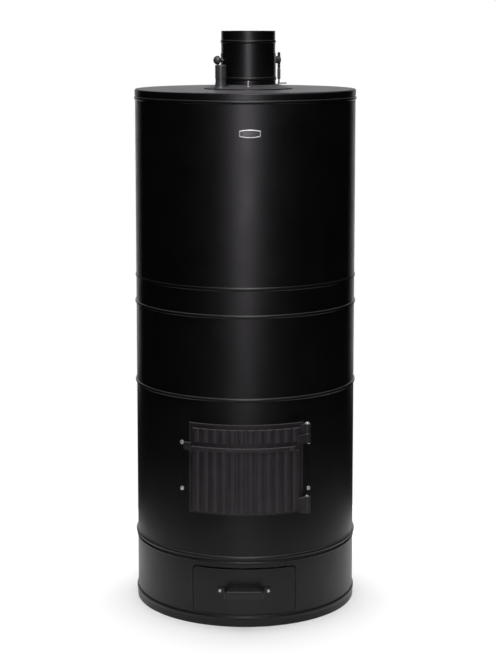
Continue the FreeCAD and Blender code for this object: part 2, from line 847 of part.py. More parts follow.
def door_throat():
    """Four plates that line the way from the frame to the firebox."""
    body = new_body("door_throat")
    front = f"({FRAME_BACK} - throat_play)"
    left, right = "(door_offset - throat_half)", "(door_offset + throat_half)"
    low, high = "throat_low", "throat_high"
    for x0, x1, z0, z1 in (
            (left, right, low, f"{low} + throat_wall"),
            (left, right, f"{high} - throat_wall", high),
            (left, f"{left} + throat_wall", f"{low} + throat_wall", f"{high} - throat_wall"),
            (f"{right} - throat_wall", right, f"{low} + throat_wall", f"{high} - throat_wall")):
        points = [
            (x0, front_y(front, x0)), (x1, front_y(front, x1)), (x1, "-throat_back"), (x0, "-throat_back"),
        ]
        slab(body, z0, z1, points, {0: (front, -1)})


def latch_keeper():
    """Rest on the frame's left edge that the latch bar drops on to."""
    body = new_body("latch_keeper")
    high = "latch_low - keeper_play"
    curved_bar(body, FRAME_LEFT, f"{FRAME_LEFT} + keeper_width", "(drum_radius + frame_lip + trim_gap)",
               "(drum_radius + latch_back + latch_thick)", f"{high} - keeper_height", high)


def fire_door():
    """Ribbed cast door with a channel for the latch bar and two hinge eyes."""
    body = new_body("fire_door")
    curved_bar(body, DOOR_LEFT, DOOR_RIGHT, DOOR_BACK, DOOR_FACE, "door_low", "door_high")
    left_angle = f"asin({DOOR_LEFT} / {RIB_TOP})"
    right_angle = f"asin({DOOR_RIGHT} / {RIB_TOP})"
    groove = f"(rib_groove / {RIB_TOP} * 180 / pi)"
    pitch = f"(({right_angle} - {left_angle} + {groove} * 1deg) / rib_count)"
    half = f"(({pitch} - {groove} * 1deg) / 2)"
    width = f"({RIB_TOP} * sin({half}))"
    shoulder = f"-({RIB_TOP} - rib_shoulder)"
    foot = f"-({DOOR_FACE} - rib_root)"
    points = [(f"-{width}", shoulder), (width, shoulder), (width, foot), (f"-{width}", foot)]
    for low, high in (("door_low", "channel_low"), ("channel_high", "door_high")):
        sketch = new_sketch(body, "XY_Plane", low, f"{left_angle} + {half}")
        loop(sketch, points, {0: (crown(width, "rib_shoulder"), -1)})
        around(body, pad(body, sketch, f"{high} - ({low})"), "rib_count", f"{pitch} * (rib_count - 1)")
    arm = [
        (f"{DOOR_RIGHT} - door_arm", front_y(DOOR_BACK, f"{DOOR_RIGHT} - door_arm")),
        (f"{DOOR_RIGHT} - door_arm", front_y(RIB_TOP, f"{DOOR_RIGHT} - door_arm")),
        ("hinge_x", "hinge_y - door_arm_reach"), ("hinge_x - door_arm_side", "hinge_y - arm_end"),
    ]
    knuckle(body, "door_top_knuckle_low", "door_top_knuckle_high", arm)
    knuckle(body, "low_knuckle_high + knuckle_gap", "door_low_knuckle_high", arm)
    drill(body, "hinge_x", "hinge_y", "door_low", Rotation(), PIN_BORE, "door_high - door_low")
    drill(body, "latch_pivot_x", front_y(f"({DOOR_BACK} - spare / 2)", "latch_pivot_x"), "latch_pivot_z",
          FRONT, "latch_pin_radius + running_play", "spare")


def latch_pivot_pin():
    """Headed pin in the door that the latch bar turns on."""
    body = new_body("latch_pivot_pin")
    start = front_y(f"({DOOR_BACK} + latch_play)", "latch_pivot_x - latch_pin_radius")
    face = front_y("(drum_radius + latch_back + latch_thick)", "latch_pivot_x - latch_head_radius")
    length = f"({start}) - ({face}) + latch_play"
    drill(body, "latch_pivot_x", start, "latch_pivot_z", FRONT, "latch_pin_radius", length, "Additive")
    drill(body, "latch_pivot_x", f"({face}) - latch_play", "latch_pivot_z", FRONT,
          "latch_head_radius", "latch_head", "Additive")


def latch_bar():
    """Bent bar that lies in the door's channel and ends in a lifting tongue."""
    body = new_body("latch_bar")
    inner = "(drum_radius + latch_back)"
    outer = "(drum_radius + latch_back + latch_thick)"
    curved_bar(body, "latch_left", "latch_right", inner, outer, "latch_low", "latch_bar_high")
    curved_bar(body, "latch_left", "tongue_edge", inner, outer, "latch_low", "latch_tongue_high")
    drill(body, "latch_pivot_x", front_y(f"({inner} - spare)", "latch_pivot_x"), "latch_pivot_z", FRONT,
          "latch_pin_radius + running_play", "3 * spare")


def door_liner():
    """Heat shield behind the door."""
    body = new_body("door_liner")
    curved_bar(body, "(door_offset - liner_half)", "(door_offset + liner_half)",
               "drum_radius", "(drum_radius + liner_sheet)", "liner_low", "liner_high")


def liner_spacers():
    """Four bosses between the door and its heat shield."""
    body = new_body("liner_spacers")
    middle = "((liner_low + liner_high) / 2)"
    for side in ("-", "+"):
        x = f"(door_offset {side} spacer_x)"
        for up in ("-", "+"):
            z = f"({middle} {up} spacer_z)"
            curved_bar(body, f"({x} - spacer_half)", f"({x} + spacer_half)",
                       "(drum_radius + liner_sheet)", DOOR_BACK, f"{z} - spacer_half", f"{z} + spacer_half")


def door_seal():
    """Rope seal between the door and its frame."""
    body = new_body("door_seal")
    left, right = f"({DOOR_LEFT} + seal_inset)", f"({DOOR_RIGHT} - seal_inset)"
    low, high = "(door_low + seal_inset)", "(door_high - seal_inset)"
    curved_bar(body, left, right, f"({FRAME_FACE} + seal_gap)", f"({DOOR_BACK} - trim_gap)", low, high)
    points = box_points(
        f"{left} + seal_width", f"{right} - seal_width", f"{low} + seal_width", f"{high} - seal_width")
    pocket(body, loop(new_sketch(body, "XZ_Plane"), points), "drum_radius + spare", True)


# ---- ash drawer ----------------------------------------------------------
DRAWER_LEFT = "(drawer_offset - drawer_half)"
DRAWER_RIGHT = "(drawer_offset + drawer_half)"
DRAWER_FACE = "(drum_radius + drawer_proud)"
DRAWER_BACK = "(drum_radius + drawer_proud - drawer_plate)"
HANDLE_Z = "((handle_low + handle_high) / 2)"


def handle_holes(body):
    """Drill the two holes that the drawer handle's screws pass."""
    for side in ("-", "+"):
        drill(body, f"drawer_offset {side} handle_centres / 2", "-(drum_radius - spare)", HANDLE_Z, FRONT,
              "handle_screw_radius + running_play", "2 * spare")


def drawer_front():
    """Front plate of the ash drawer, bent to the plinth."""
    body = new_body("drawer_front")
    sketch = new_sketch(body, "XZ_Plane")
    rounded(sketch, DRAWER_LEFT, DRAWER_RIGHT, "drawer_low", "drawer_high", "drawer_round")
    pad(body, sketch, "drum_radius + spare")
    band(body, DRAWER_BACK, DRAWER_FACE, "drawer_low", "drawer_high")
    handle_holes(body)


def tray_plan(inset):
    """Plan outline of the tray, drawn in by a wall's thickness."""
    left = f"(drawer_offset - tray_half + {inset})"
    right = f"(drawer_offset + tray_half - {inset})"
    front = f"({DRAWER_BACK} - {inset})"
    back = f"tray_back - {inset}"
    points = [(left, front_y(front, left)), (right, front_y(front, right)), (right, back), (left, back)]
    return points, {0: (front, -1)}


def ash_tray():
    """Open sheet tray of the ash drawer."""
    body = new_body("ash_tray")
    slab(body, "tray_low", "tray_high", *tray_plan("0"))
    points, arcs = tray_plan("tray_sheet")
    sketch = loop(new_sketch(body, "XY_Plane", "tray_high"), points, arcs)
    pocket(body, sketch, "tray_high - tray_low - tray_sheet")
    handle_holes(body)


def drawer_handle():
    """Bridge handle bent from one strip, with a foot at each end."""
    body = new_body("drawer_handle")
    far = "(drum_radius + handle_reach)"
    top = f"({DRAWER_FACE} + handle_strip)"
    corner = "handle_corner"
    right = []
    left = []
    for side, spots in (("+", right), ("-", left)):
        grip = f"(drawer_offset {side} handle_grip_half)"
        inside = f"(drawer_offset {side} (handle_grip_half - handle_strip))"
        foot = f"(drawer_offset {side} handle_foot_half)"
        spots += [
            (f"(drawer_offset {side} (handle_grip_half - {corner}))", f"-{far}"),
            (grip, f"-{far} + {corner}"), (grip, front_y(top, grip)),
            (foot, front_y(top, foot)), (foot, front_y(DRAWER_FACE, foot)),
            (inside, front_y(DRAWER_FACE, inside)), (inside, f"-{far} + handle_strip"),
        ]
    arcs = {
        0: (corner, -1), 2: (top, -1), 4: (DRAWER_FACE, 1),
        8: (DRAWER_FACE, 1), 10: (top, -1), 12: (corner, -1),
    }
    slab(body, "handle_low", "handle_high", right + left[::-1], arcs)
    handle_holes(body)


def handle_screws():
    """Two screws through the handle's feet, the front and the tray."""
    body = new_body("handle_screws")
    for side, inward in (("-", "+"), ("+", "-")):
        x = f"(drawer_offset {side} handle_centres / 2)"
        seat = front_y(f"({DRAWER_FACE} + handle_strip + trim_gap)", f"({x} {inward} handle_head_radius)")
        drill(body, x, seat, HANDLE_Z, FRONT, "handle_head_radius", "handle_head", "Additive")
        drill(body, x, f"{seat} + handle_screw_long", HANDLE_Z, FRONT,
              "handle_screw_radius", "handle_screw_long + handle_head / 2", "Additive")


def drawer_rails():
    """Two bars under the tray and two guides beside it."""
    body = new_body("drawer_rails")
    top = "tray_low - tray_play"
    for side in (-1, 1):
        near = f"(drawer_offset + {side} * (tray_half - rail_inset))"
        bar = sorted((near, f"({near} - {side} * rail_width)"), key=value)
        block(body, bar[0], bar[1], "-rail_front", "tray_back", "base_sheet", top)
        near = f"(drawer_offset + {side} * (tray_half + guide_play))"
        bar = sorted((near, f"({near} + {side} * guide_width)"), key=value)
        block(body, bar[0], bar[1], "-rail_front", "tray_back", "base_sheet", "guide_height")


# ---- flue, port and damper -----------------------------------------------
PLAN = Rotation(UP, value("shaft_turn"))


def pipe(label, radius, low, high, bead):
    """Flue pipe with one rolled bead, and holes for the damper's shaft."""
    body = new_body(label, "flue_offset")
    inner = f"({radius} - flue_sheet)"
    points = [
        (inner, low), (radius, low), (radius, f"{bead} - flue_bead_half"),
        (radius, f"{bead} + flue_bead_half"), (radius, high), (inner, high),
    ]
    ring(body, points, {2: (crown("flue_bead_half", "flue_bead_rise"), -1)})
    reach = f"({radius} + spare)"
    drill(body, f"-{reach} * cos(shaft_turn)", f"-{reach} * sin(shaft_turn)", "damper_z",
          PLAN.multiply(SIDE), "shaft_radius + running_play", f"2 * {reach}")


def rosette():
    """Shallow cone of sheet round the foot of the flue."""
    body = new_body("rosette", "flue_offset")
    hole = "collar_radius + flue_hole_play"
    under = "rosette_top - rosette_sheet"
    points = [
        ("rosette_outer - rosette_foot", "body_height"), ("rosette_outer", "body_height"),
        ("rosette_outer", "body_height + rosette_edge"), ("rosette_inner", "rosette_top"),
        (hole, "rosette_top"), (hole, under), ("rosette_inner - rosette_sheet / 2", under),
    ]
    ring(body, points)
    drill(body, "port_x - flue_offset", "port_y", "body_height - spare", Rotation(),
          "port_flare + port_play", "3 * spare")
    for side in ("-", ""):
        drill(body, "0", f"{side}stud_reach", "body_height - spare", Rotation(),
              "stud_radius + port_play", "3 * spare")


def rosette_studs():
    """Two studs with nuts that hold the rosette down."""
    body = new_body("rosette_studs", "flue_offset")
    sketch = circle(new_sketch(body, "XY_Plane", "body_height"), "0", "-stud_reach", "stud_radius")
    around(body, pad(body, sketch, "stud_top - body_height"), "2", "360")
    corners = [
        (f"nut_radius * cos({angle})", f"-stud_reach + nut_radius * sin({angle})")
        for angle in range(0, 360, 60)]
    nut_low = "rosette_top - rosette_sheet - nut_low"
    around(body, slab(body, nut_low, f"{nut_low} + nut_height", corners), "2", "360")


def port_neck():
    """Trumpet-footed pipe beside the flue."""
    body = new_body("port_neck", "port_x", "port_y")
    points = [
        ("port_bore", "body_height"), ("port_flare", "body_height"),
        ("port_flare", "body_height + port_flare_low"),
        ("port_radius", "port_high"), ("port_bore", "port_high"),
    ]
    ring(body, points, {2: ("port_flare_round", 1)})


def port_cap():
    """Ringed cap that lifts out of the port's neck."""
    body = new_body("port_cap", "port_x", "port_y")
    low = "port_high + trim_gap"
    points = [
        ("0", "port_high - cap_plug_depth"), ("cap_plug", "port_high - cap_plug_depth"),
        ("cap_plug", low), ("cap_radius", low), ("cap_radius", "cap_high - cap_round"),
        ("cap_radius - cap_round", "cap_high"), ("0", "cap_high"),
    ]
    ring(body, points, {4: ("cap_round", -1)})
    for i in range(int(value("cap_ring_count"))):
        low = f"port_high + cap_ring_first + {i} * cap_ring_pitch"
        notch = box_points("cap_radius - cap_groove", "cap_radius + spare", low, f"{low} + cap_ring_width")
        ring(body, notch, kind="Groove")


def damper_body(label):
    """Start a piece of the damper: its X axis is the shaft's."""
    return new_body(label, "flue_offset", "0", "0", PLAN)


def plate_screw_holes(body):
    """Drill the two holes of the screws that hold the plate to the shaft."""
    for side in ("-", ""):
        drill(body, f"{side}plate_screw_x", "spare / 2", "damper_z", FRONT,
              "plate_screw_radius + running_play", "spare")


def damper_shaft():
    """Shaft across the flue, turned in plan so that its knob comes forward."""
    body = damper_body("damper_shaft")
    start = "(knob_back + knob_depth)"
    drill(body, f"-{start}", "0", "damper_z", SIDE, "shaft_radius",
          f"{start} + lever_reach + lever_thick / 2 + shaft_end", "Additive")
    plate_screw_holes(body)


def damper_plate():
    """Butterfly plate, edge on to the smoke when open."""
    body = damper_body("damper_plate")
    sketch = new_sketch(body, "XZ_Plane", "-(shaft_radius + plate_thick)")
    pad(body, circle(sketch, "0", "damper_z", "plate_radius"), "plate_thick")
    plate_screw_holes(body)


def plate_screws():
    """Two screws through the plate into the shaft."""
    body = damper_body("plate_screws")
    top = "(shaft_radius + plate_thick + plate_screw_head)"
    for side in ("-", ""):
        x = f"{side}plate_screw_x"
        drill(body, x, top, "damper_z", FRONT,
              "plate_screw_head_radius", "plate_screw_head", "Additive")
        drill(body, x, top, "damper_z", FRONT,
              "plate_screw_radius", f"{top} + shaft_radius / 2", "Additive")


def shaft_knob():
    """Round-ended knob on the near end of the shaft."""
    turn = PLAN.multiply(Rotation(Vector(0, 1, 0), -90))
    body = new_body("shaft_knob", "flue_offset - knob_near * cos(shaft_turn)",
                    "-knob_near * sin(shaft_turn)", "damper_z", turn)
    bore = "(shaft_radius + running_play)"
    back = "(knob_back - knob_near)"
    length = "(knob_end - knob_near)"
    bottom = f"{back} + knob_depth + running_play"
    points = [
        (bore, "0"), ("knob_neck", "0"), ("knob_neck", back), ("knob_radius - knob_edge", back),
        ("knob_radius", f"{back} + knob_edge"), ("knob_radius", f"{length} - knob_radius"),
        ("0", length), ("0", bottom), (bore, bottom),
    ]
    ring(body, points, {5: ("knob_radius", -1)})


def damper_lever():
    """Flat lever on the far end of the shaft, with a hub, a rod and a foot tab."""
    body = damper_body("damper_lever")
    left, right = "(lever_reach - lever_thick / 2)", "(lever_reach + lever_thick / 2)"
    half = "lever_width / 2"
    sketch = new_sketch(body, "YZ_Plane", left)
    rounded(sketch, f"-{half}", half, "lever_low", "lever_high", "lever_round")
    pad(body, sketch, "lever_thick")
    drill(body, "hub_start", "0", "damper_z", SIDE, "hub_radius", f"{right} - hub_start", "Additive")
    sketch = circle(new_sketch(body, "XY_Plane", "lever_rod_low"), "lever_reach", "0", "lever_rod_radius")
    pad(body, sketch, "lever_low - lever_rod_low + lever_round")
    block(body, left, "lever_tab", "-lever_tab_half", "lever_tab_half", "lever_rod_low",
          "lever_rod_low + lever_tab_thick")
    drill(body, "hub_start - spare", "0", "damper_z", SIDE, "shaft_radius + running_play", "3 * spare")


def lever_grip():
    """Sleeve on the lever's rod."""
    body = new_body(
        "lever_grip", "flue_offset + lever_reach * cos(shaft_turn)", "lever_reach * sin(shaft_turn)")
    bore = "(lever_rod_radius + grip_play)"
    ring(body, box_points(bore, "grip_radius", "grip_low", "lever_low - grip_play"))


# ---- badge ---------------------------------------------------------------
def bowed(body, half, tall):
    """Sketch a plate whose upper and lower edges bow outwards."""
    points = box_points(
        f"badge_x - {half}", f"badge_x + {half}", f"badge_z - {tall}", f"badge_z + {tall}")
    radius = crown(half, "badge_bow")
    return loop(new_sketch(body, "XZ_Plane"), points, {0: (radius, -1), 2: (radius, -1)})


def badge(label, rise):
    """Blank badge on the upper jacket: its raised rim or its field."""
    body = new_body(label)
    inner = ("(badge_half - badge_edge)", "(badge_tall - badge_edge)")
    if label == "badge_rim":
        pad(body, bowed(body, "badge_half", "badge_tall"), "drum_radius + spare")
        pocket(body, bowed(body, *inner), "drum_radius + 2 * spare", True)
    else:
        pad(body, bowed(body, *inner), "drum_radius + spare")
    band(body, "(drum_radius + trim_gap)", f"(drum_radius + {rise})", "badge_z", "badge_z")


# ---- assembly ------------------------------------------------------------
base_plate()
foot_ring()
plinth_jacket()
lower_jacket()
jacket("middle_jacket", "middle_start", "band_start", "middle_bead_rise")
jacket("band_jacket", "band_start", "upper_start", "band_bead_rise")
upper_jacket()
lid()
plinth_bricks()
deck_plates()
course("lining_course_1", "plinth_brick_top + deck_sheet", "hearth_level", "apothem_low")
door_course()
course("lining_course_3", "door_course_top", "firebox_top", "apothem_low")
course("lining_course_4", "firebox_top", "mid_joint", "apothem_mid")
course("lining_course_5", "mid_joint", "mid_top", "apothem_mid")
course("lining_course_6", "mid_top", "cap_start", "apothem_top")
course("core_cap", "cap_start", "cap_top", "cap_hole")
hearth_bricks()
baffle("lower_baffle", "firebox_top", "apothem_mid", "back")
baffle("upper_baffle", "mid_top", "apothem_top", "front")
grate()
door_frame()
door_throat()
frame_screws()
hinge_pins()
latch_keeper()
fire_door()
door_liner()
liner_spacers()
door_seal()
latch_pivot_pin()
latch_bar()
drawer_front()
ash_tray()
drawer_handle()
handle_screws()
drawer_rails()
pipe("flue_collar", "collar_radius", "collar_low", "collar_high", "collar_bead")
pipe("flue_spigot", "spigot_radius", "spigot_low", "spigot_high", "spigot_bead")
rosette()
rosette_studs()
port_neck()
port_cap()
damper_shaft()
damper_plate()
plate_screws()
shaft_knob()
damper_lever()
lever_grip()
badge("badge_rim", "badge_rise")
badge("badge_plate", "badge_field")

doc.recompute()
for thing in doc.Objects:
    if "Invalid" in thing.State or "Error" in thing.State:
        raise RuntimeError(f"{thing.Label}: {thing.State}")
os.makedirs("parts", exist_ok=True)
for node in nodes:
    shape = node.Shape
    if shape.isNull() or not shape.isValid() or not shape.Solids:
        raise RuntimeError(f"{node.Label}: the solid is not valid")
    shape.exportStep(f"parts/{node.Label}.step")
    print(f"{node.Label}: {len(shape.Solids)} solids, {shape.Volume / 1000:.1f} cm3")
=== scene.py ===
import json
import math

import bmesh
import bpy
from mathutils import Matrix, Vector

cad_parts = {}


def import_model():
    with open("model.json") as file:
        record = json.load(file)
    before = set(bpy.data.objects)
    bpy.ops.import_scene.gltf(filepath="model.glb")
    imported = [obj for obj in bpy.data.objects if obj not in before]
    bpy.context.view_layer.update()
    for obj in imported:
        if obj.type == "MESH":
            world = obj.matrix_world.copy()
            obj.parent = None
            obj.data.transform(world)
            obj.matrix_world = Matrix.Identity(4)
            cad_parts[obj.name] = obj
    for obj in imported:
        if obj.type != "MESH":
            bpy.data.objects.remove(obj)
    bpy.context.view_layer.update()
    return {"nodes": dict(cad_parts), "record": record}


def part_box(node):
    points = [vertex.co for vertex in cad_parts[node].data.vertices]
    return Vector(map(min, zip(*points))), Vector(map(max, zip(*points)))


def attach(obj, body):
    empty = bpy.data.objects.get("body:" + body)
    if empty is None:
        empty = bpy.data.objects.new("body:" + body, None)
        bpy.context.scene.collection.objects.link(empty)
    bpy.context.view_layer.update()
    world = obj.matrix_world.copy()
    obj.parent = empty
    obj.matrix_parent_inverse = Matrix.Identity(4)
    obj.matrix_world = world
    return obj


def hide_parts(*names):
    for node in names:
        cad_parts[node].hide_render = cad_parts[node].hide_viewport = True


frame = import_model()
NODES = frame["nodes"]

MM = 0.001
# Corners nearer than these are one corner, in CAD meshes and in pieces made here.
WELD = 0.01 * MM
FINE_WELD = 0.0025 * MM
# A rounded piece is this share of its CAD solid's thickness, to stay inside it.
INSIDE = 0.98
FILLET_STEPS = 4


# ---- node helpers --------------------------------------------------------
class Shader:
    """A material being wired: short calls that add and join its nodes."""

    def __init__(self, name):
        self.material = bpy.data.materials.new(name)
        self.material.use_nodes = True
        self.tree = self.material.node_tree
        self.bsdf = self.tree.nodes["Principled BSDF"]
        self.place = self.add("ShaderNodeTexCoord").outputs["Object"]

    def add(self, kind, **props):
        """A new node of a kind, with its settings."""
        node = self.tree.nodes.new(kind)
        for key, setting in props.items():
            setattr(node, key, setting)
        return node

    def link(self, source, target):
        """Join an output to an input."""
        self.tree.links.new(source, target)

    def stretch(self, scale):
        """Object coordinates scaled by (x, y, z)."""
        node = self.add("ShaderNodeMapping")
        node.inputs["Scale"].default_value = scale
        self.link(self.place, node.inputs["Vector"])
        return node.outputs["Vector"]

    def noise(self, scale, detail, rough, vector=None):
        """Cloudy noise over the object, or over other coordinates."""
        node = self.add("ShaderNodeTexNoise")
        node.inputs["Scale"].default_value = scale
        node.inputs["Detail"].default_value = detail
        node.inputs["Roughness"].default_value = rough
        self.link(vector or self.place, node.inputs["Vector"])
        return node.outputs["Fac"]

    def cells(self, scale):
        """Distance to the nearest of many scattered points."""
        node = self.add("ShaderNodeTexVoronoi")
        node.inputs["Scale"].default_value = scale
        self.link(self.place, node.inputs["Vector"])
        return node.outputs["Distance"]

    def remap(self, value, from_low, from_high, to_low, to_high):
        """One range of values stretched onto another and clipped to it."""
        node = self.add("ShaderNodeMapRange")
        for key, number in (("From Min", from_low), ("From Max", from_high),
                            ("To Min", to_low), ("To Max", to_high)):
            node.inputs[key].default_value = number
        self.link(value, node.inputs["Value"])
        return node.outputs["Result"]

    def math(self, operation, a, b):
        """Result of an operation on two values, each a socket or a number."""
        node = self.add("ShaderNodeMath", operation=operation)
        for socket, value in zip(node.inputs, (a, b)):
            if isinstance(value, (int, float)):
                socket.default_value = value
            else:
                self.link(value, socket)
        return node.outputs["Value"]

    def mix(self, factor, a, b):
        """Mix two colours, each a socket or an (r, g, b)."""
        node = self.add("ShaderNodeMix", data_type="RGBA")
        self.link(factor, node.inputs["Factor"])
        for key, colour in (("A", a), ("B", b)):
            socket = [s for s in node.inputs if s.name == key and s.type == "RGBA"][0]
            if isinstance(colour, tuple):
                socket.default_value = (*colour, 1)
            else:
                self.link(colour, socket)
        return [s for s in node.outputs if s.type == "RGBA"][0]

    def bump(self, height, strength, distance, normal=None):
        """Normal tilted by a height, on top of another normal if there is one."""
        node = self.add("ShaderNodeBump")
        node.inputs["Strength"].default_value = strength
        node.inputs["Distance"].default_value = distance
        self.link(height, node.inputs["Height"])
        if normal:
            self.link(normal, node.inputs["Normal"])
        return node.outputs["Normal"]

    def rubbed_and_lit_edge(self, radius):
        """About 1 on outer edges and 0 on flat stretches; radius is in metres."""
        bevel = self.add("ShaderNodeBevel", samples=4)
        bevel.inputs["Radius"].default_value = radius
        geometry = self.add("ShaderNodeNewGeometry")
        dot = self.add("ShaderNodeVectorMath", operation="DOT_PRODUCT")
        self.link(bevel.outputs["Normal"], dot.inputs[0])
        self.link(geometry.outputs["Normal"], dot.inputs[1])
        away = self.math("SUBTRACT", 1.0, dot.outputs["Value"])
        return self.remap(away, 0.05, 0.4, 0, 1)

    def facing_up(self):
        """0 on upright faces and 1 on level ones that face up."""
        parts = self.add("ShaderNodeSeparateXYZ")
        self.link(self.add("ShaderNodeNewGeometry").outputs["Normal"], parts.inputs["Vector"])
        return self.remap(parts.outputs["Z"], 0.45, 0.98, 0, 1)

    def finish(self, colour, roughness, normal=None, **sockets):
        """Join the results to the shader; a number goes straight on its socket."""
        self.link(colour, self.bsdf.inputs["Base Color"])
        if isinstance(roughness, float):
            self.bsdf.inputs["Roughness"].default_value = roughness
        else:
            self.link(roughness, self.bsdf.inputs["Roughness"])
        if normal:
            self.link(normal, self.bsdf.inputs["Normal"])
        for key, number in sockets.items():
            self.bsdf.inputs[key.replace("_", " ")].default_value = number
        return self.material


# ---- materials -----------------------------------------------------------
def powder_coat(name, dark, light, dust_and_top_light, rough_low, rough_high):
    """Satin black powder coat: orange peel, handling marks, and what faces up made paler, part fine dust
    and part painted highlight from above.
    """
    s = Shader(name)
    cloud = s.noise(7, 4, 0.6)
    fine = s.noise(900, 2, 0.6)
    peel = s.noise(420, 2, 0.5)
    coat = s.mix(s.remap(cloud, 0.35, 0.65, 0, 1), dark, light)
    rough = s.remap(s.noise(14, 5, 0.65), 0.3, 0.7, rough_low, rough_high)
    # Up-facing faces are mixed toward a pale colour: part dust, part painted highlight standing in for
    # top light on the lid and bead tops.
    dust_and_top_light_mask = s.math("MULTIPLY", s.facing_up(), s.remap(s.noise(25, 4, 0.6), 0.3, 0.7, 0.7, 1.0))
    colour = s.mix(dust_and_top_light_mask, coat, dust_and_top_light)
    grain = s.bump(fine, 0.10, 0.0002)
    normal = s.bump(peel, 0.12, 0.0003, grain)
    return s.finish(colour, rough, normal, IOR=1.38)


def painted_casting():
    """Black paint over a sand casting: edges lighter, part thin paint and part painted highlight; what
    faces up lighter, part dust and part painted highlight from above.
    """
    s = Shader("cast_black")
    sand = s.noise(650, 4, 0.7)
    lumps = s.noise(90, 3, 0.5)
    # Outer edges are lightened: paint rubbed thin there, and also a painted highlight like light
    # catching the frame lip and rib tops.
    edge = s.rubbed_and_lit_edge(0.0009)
    blotch = s.remap(s.noise(30, 4, 0.6), 0.4, 0.65, 0, 1)
    base = s.mix(blotch, (0.010, 0.0082, 0.0095), (0.016, 0.0135, 0.0155))
    rubbed_and_lit_colour = s.mix(s.math("MULTIPLY", edge, 0.6), base, (0.07, 0.062, 0.067))
    # What faces up is mixed toward a pale colour: part dust, part painted highlight from above.
    colour = s.mix(s.facing_up(), rubbed_and_lit_colour, (0.075, 0.068, 0.072))
    rough = s.remap(s.noise(60, 4, 0.6), 0.3, 0.7, 0.50, 0.64)
    normal = s.bump(sand, 0.25, 0.0004, s.bump(lumps, 0.2, 0.0010))
    return s.finish(colour, rough, normal, IOR=1.45)


def bare_casting():
    """Bare grey cast iron with rust bloom and soot."""
    s = Shader("raw_cast")
    sand = s.noise(500, 5, 0.75)
    rust = s.remap(s.noise(22, 6, 0.65), 0.52, 0.72, 0, 1)
    colour = s.mix(rust, (0.045, 0.043, 0.042), (0.085, 0.045, 0.025))
    rough = s.remap(sand, 0.3, 0.7, 0.55, 0.8)
    return s.finish(colour, rough, s.bump(sand, 0.4, 0.0006), Metallic=0.6)


def rolled_steel():
    """Dark rolled sheet with scale and scratches."""
    s = Shader("raw_steel")
    streak = s.noise(6, 6, 0.7, s.stretch((60, 60, 4)))
    scale = s.remap(s.noise(35, 5, 0.6), 0.45, 0.6, 0, 1)
    colour = s.mix(scale, (0.16, 0.155, 0.15), (0.26, 0.255, 0.25))
    rough = s.remap(streak, 0.3, 0.7, 0.32, 0.55)
    return s.finish(colour, rough, s.bump(streak, 0.08, 0.0003), Metallic=0.85)


def zinc_steel():
    """Bright zinc plated steel with fine turning marks."""
    s = Shader("bright_steel")
    marks = s.noise(40, 4, 0.6, s.stretch((30, 30, 90)))
    tone = s.noise(120, 3, 0.5)
    colour = s.mix(tone, (0.40, 0.40, 0.42), (0.56, 0.56, 0.57))
    rough = s.remap(marks, 0.3, 0.7, 0.24, 0.40)
    return s.finish(colour, rough, s.bump(marks, 0.08, 0.0002), Metallic=0.5)


def chamotte():
    """Fired clay brick with grit, pits and soot."""
    s = Shader("firebrick")
    grit = s.cells(230)
    pits = s.noise(120, 6, 0.7)
    soot = s.remap(s.noise(5, 4, 0.6), 0.42, 0.68, 0, 1)
    clay = s.mix(s.remap(grit, 0.1, 0.6, 0, 1), (0.52, 0.36, 0.22), (0.66, 0.50, 0.33))
    colour = s.mix(s.math("MULTIPLY", soot, 0.75), clay, (0.06, 0.05, 0.045))
    normal = s.bump(pits, 0.5, 0.0015, s.bump(grit, 0.2, 0.0008))
    return s.finish(colour, s.remap(pits, 0.3, 0.7, 0.8, 0.96), normal)


def glass_rope():
    """Braided glass rope, greyed by smoke."""
    s = Shader("rope")
    fibre = s.noise(900, 3, 0.6)
    dirt = s.remap(s.noise(40, 4, 0.6), 0.4, 0.65, 0, 1)
    colour = s.mix(dirt, (0.42, 0.40, 0.37), (0.12, 0.11, 0.10))
    return s.finish(colour, 0.9, s.bump(fibre, 0.5, 0.0005))


def turned_cap():
    """Dark turned metal of the port's cap."""
    s = Shader("cap_grey")
    rings = s.noise(20, 3, 0.5, s.stretch((4, 4, 160)))
    colour = s.mix(s.noise(60, 3, 0.5), (0.045, 0.044, 0.047), (0.075, 0.073, 0.078))
    rough = s.remap(rings, 0.3, 0.7, 0.38, 0.5)
    return s.finish(colour, rough, s.bump(rings, 0.15, 0.0002), Metallic=0.4)


def moulded_grip():
    """Moulded heat-proof sleeve."""
    s = Shader("grip_grey")
    skin = s.noise(1500, 2, 0.5)
    colour = s.mix(s.noise(80, 3, 0.5), (0.06, 0.06, 0.062), (0.09, 0.09, 0.092))
    return s.finish(colour, s.remap(skin, 0.3, 0.7, 0.42, 0.55), s.bump(skin, 0.2, 0.0002))


def polished_chrome():
    """Polished rim of the badge."""
    s = Shader("badge_chrome")
    hairline = s.noise(30, 3, 0.5, s.stretch((8, 8, 200)))
    colour = s.mix(s.noise(90, 2, 0.5), (0.60, 0.60, 0.62), (0.72, 0.72, 0.74))
    rough = s.remap(hairline, 0.3, 0.7, 0.42, 0.55)
    return s.finish(colour, rough, s.bump(hairline, 0.04, 0.0001), Metallic=0.6)


def badge_enamel():
    """Dark field of the badge."""
    s = Shader("badge_field")
    speck = s.noise(1200, 2, 0.5)
    colour = s.mix(s.noise(100, 3, 0.5), (0.012, 0.012, 0.013), (0.022, 0.022, 0.024))
    return s.finish(colour, s.remap(speck, 0.3, 0.7, 0.3, 0.42), s.bump(speck, 0.1, 0.0001))


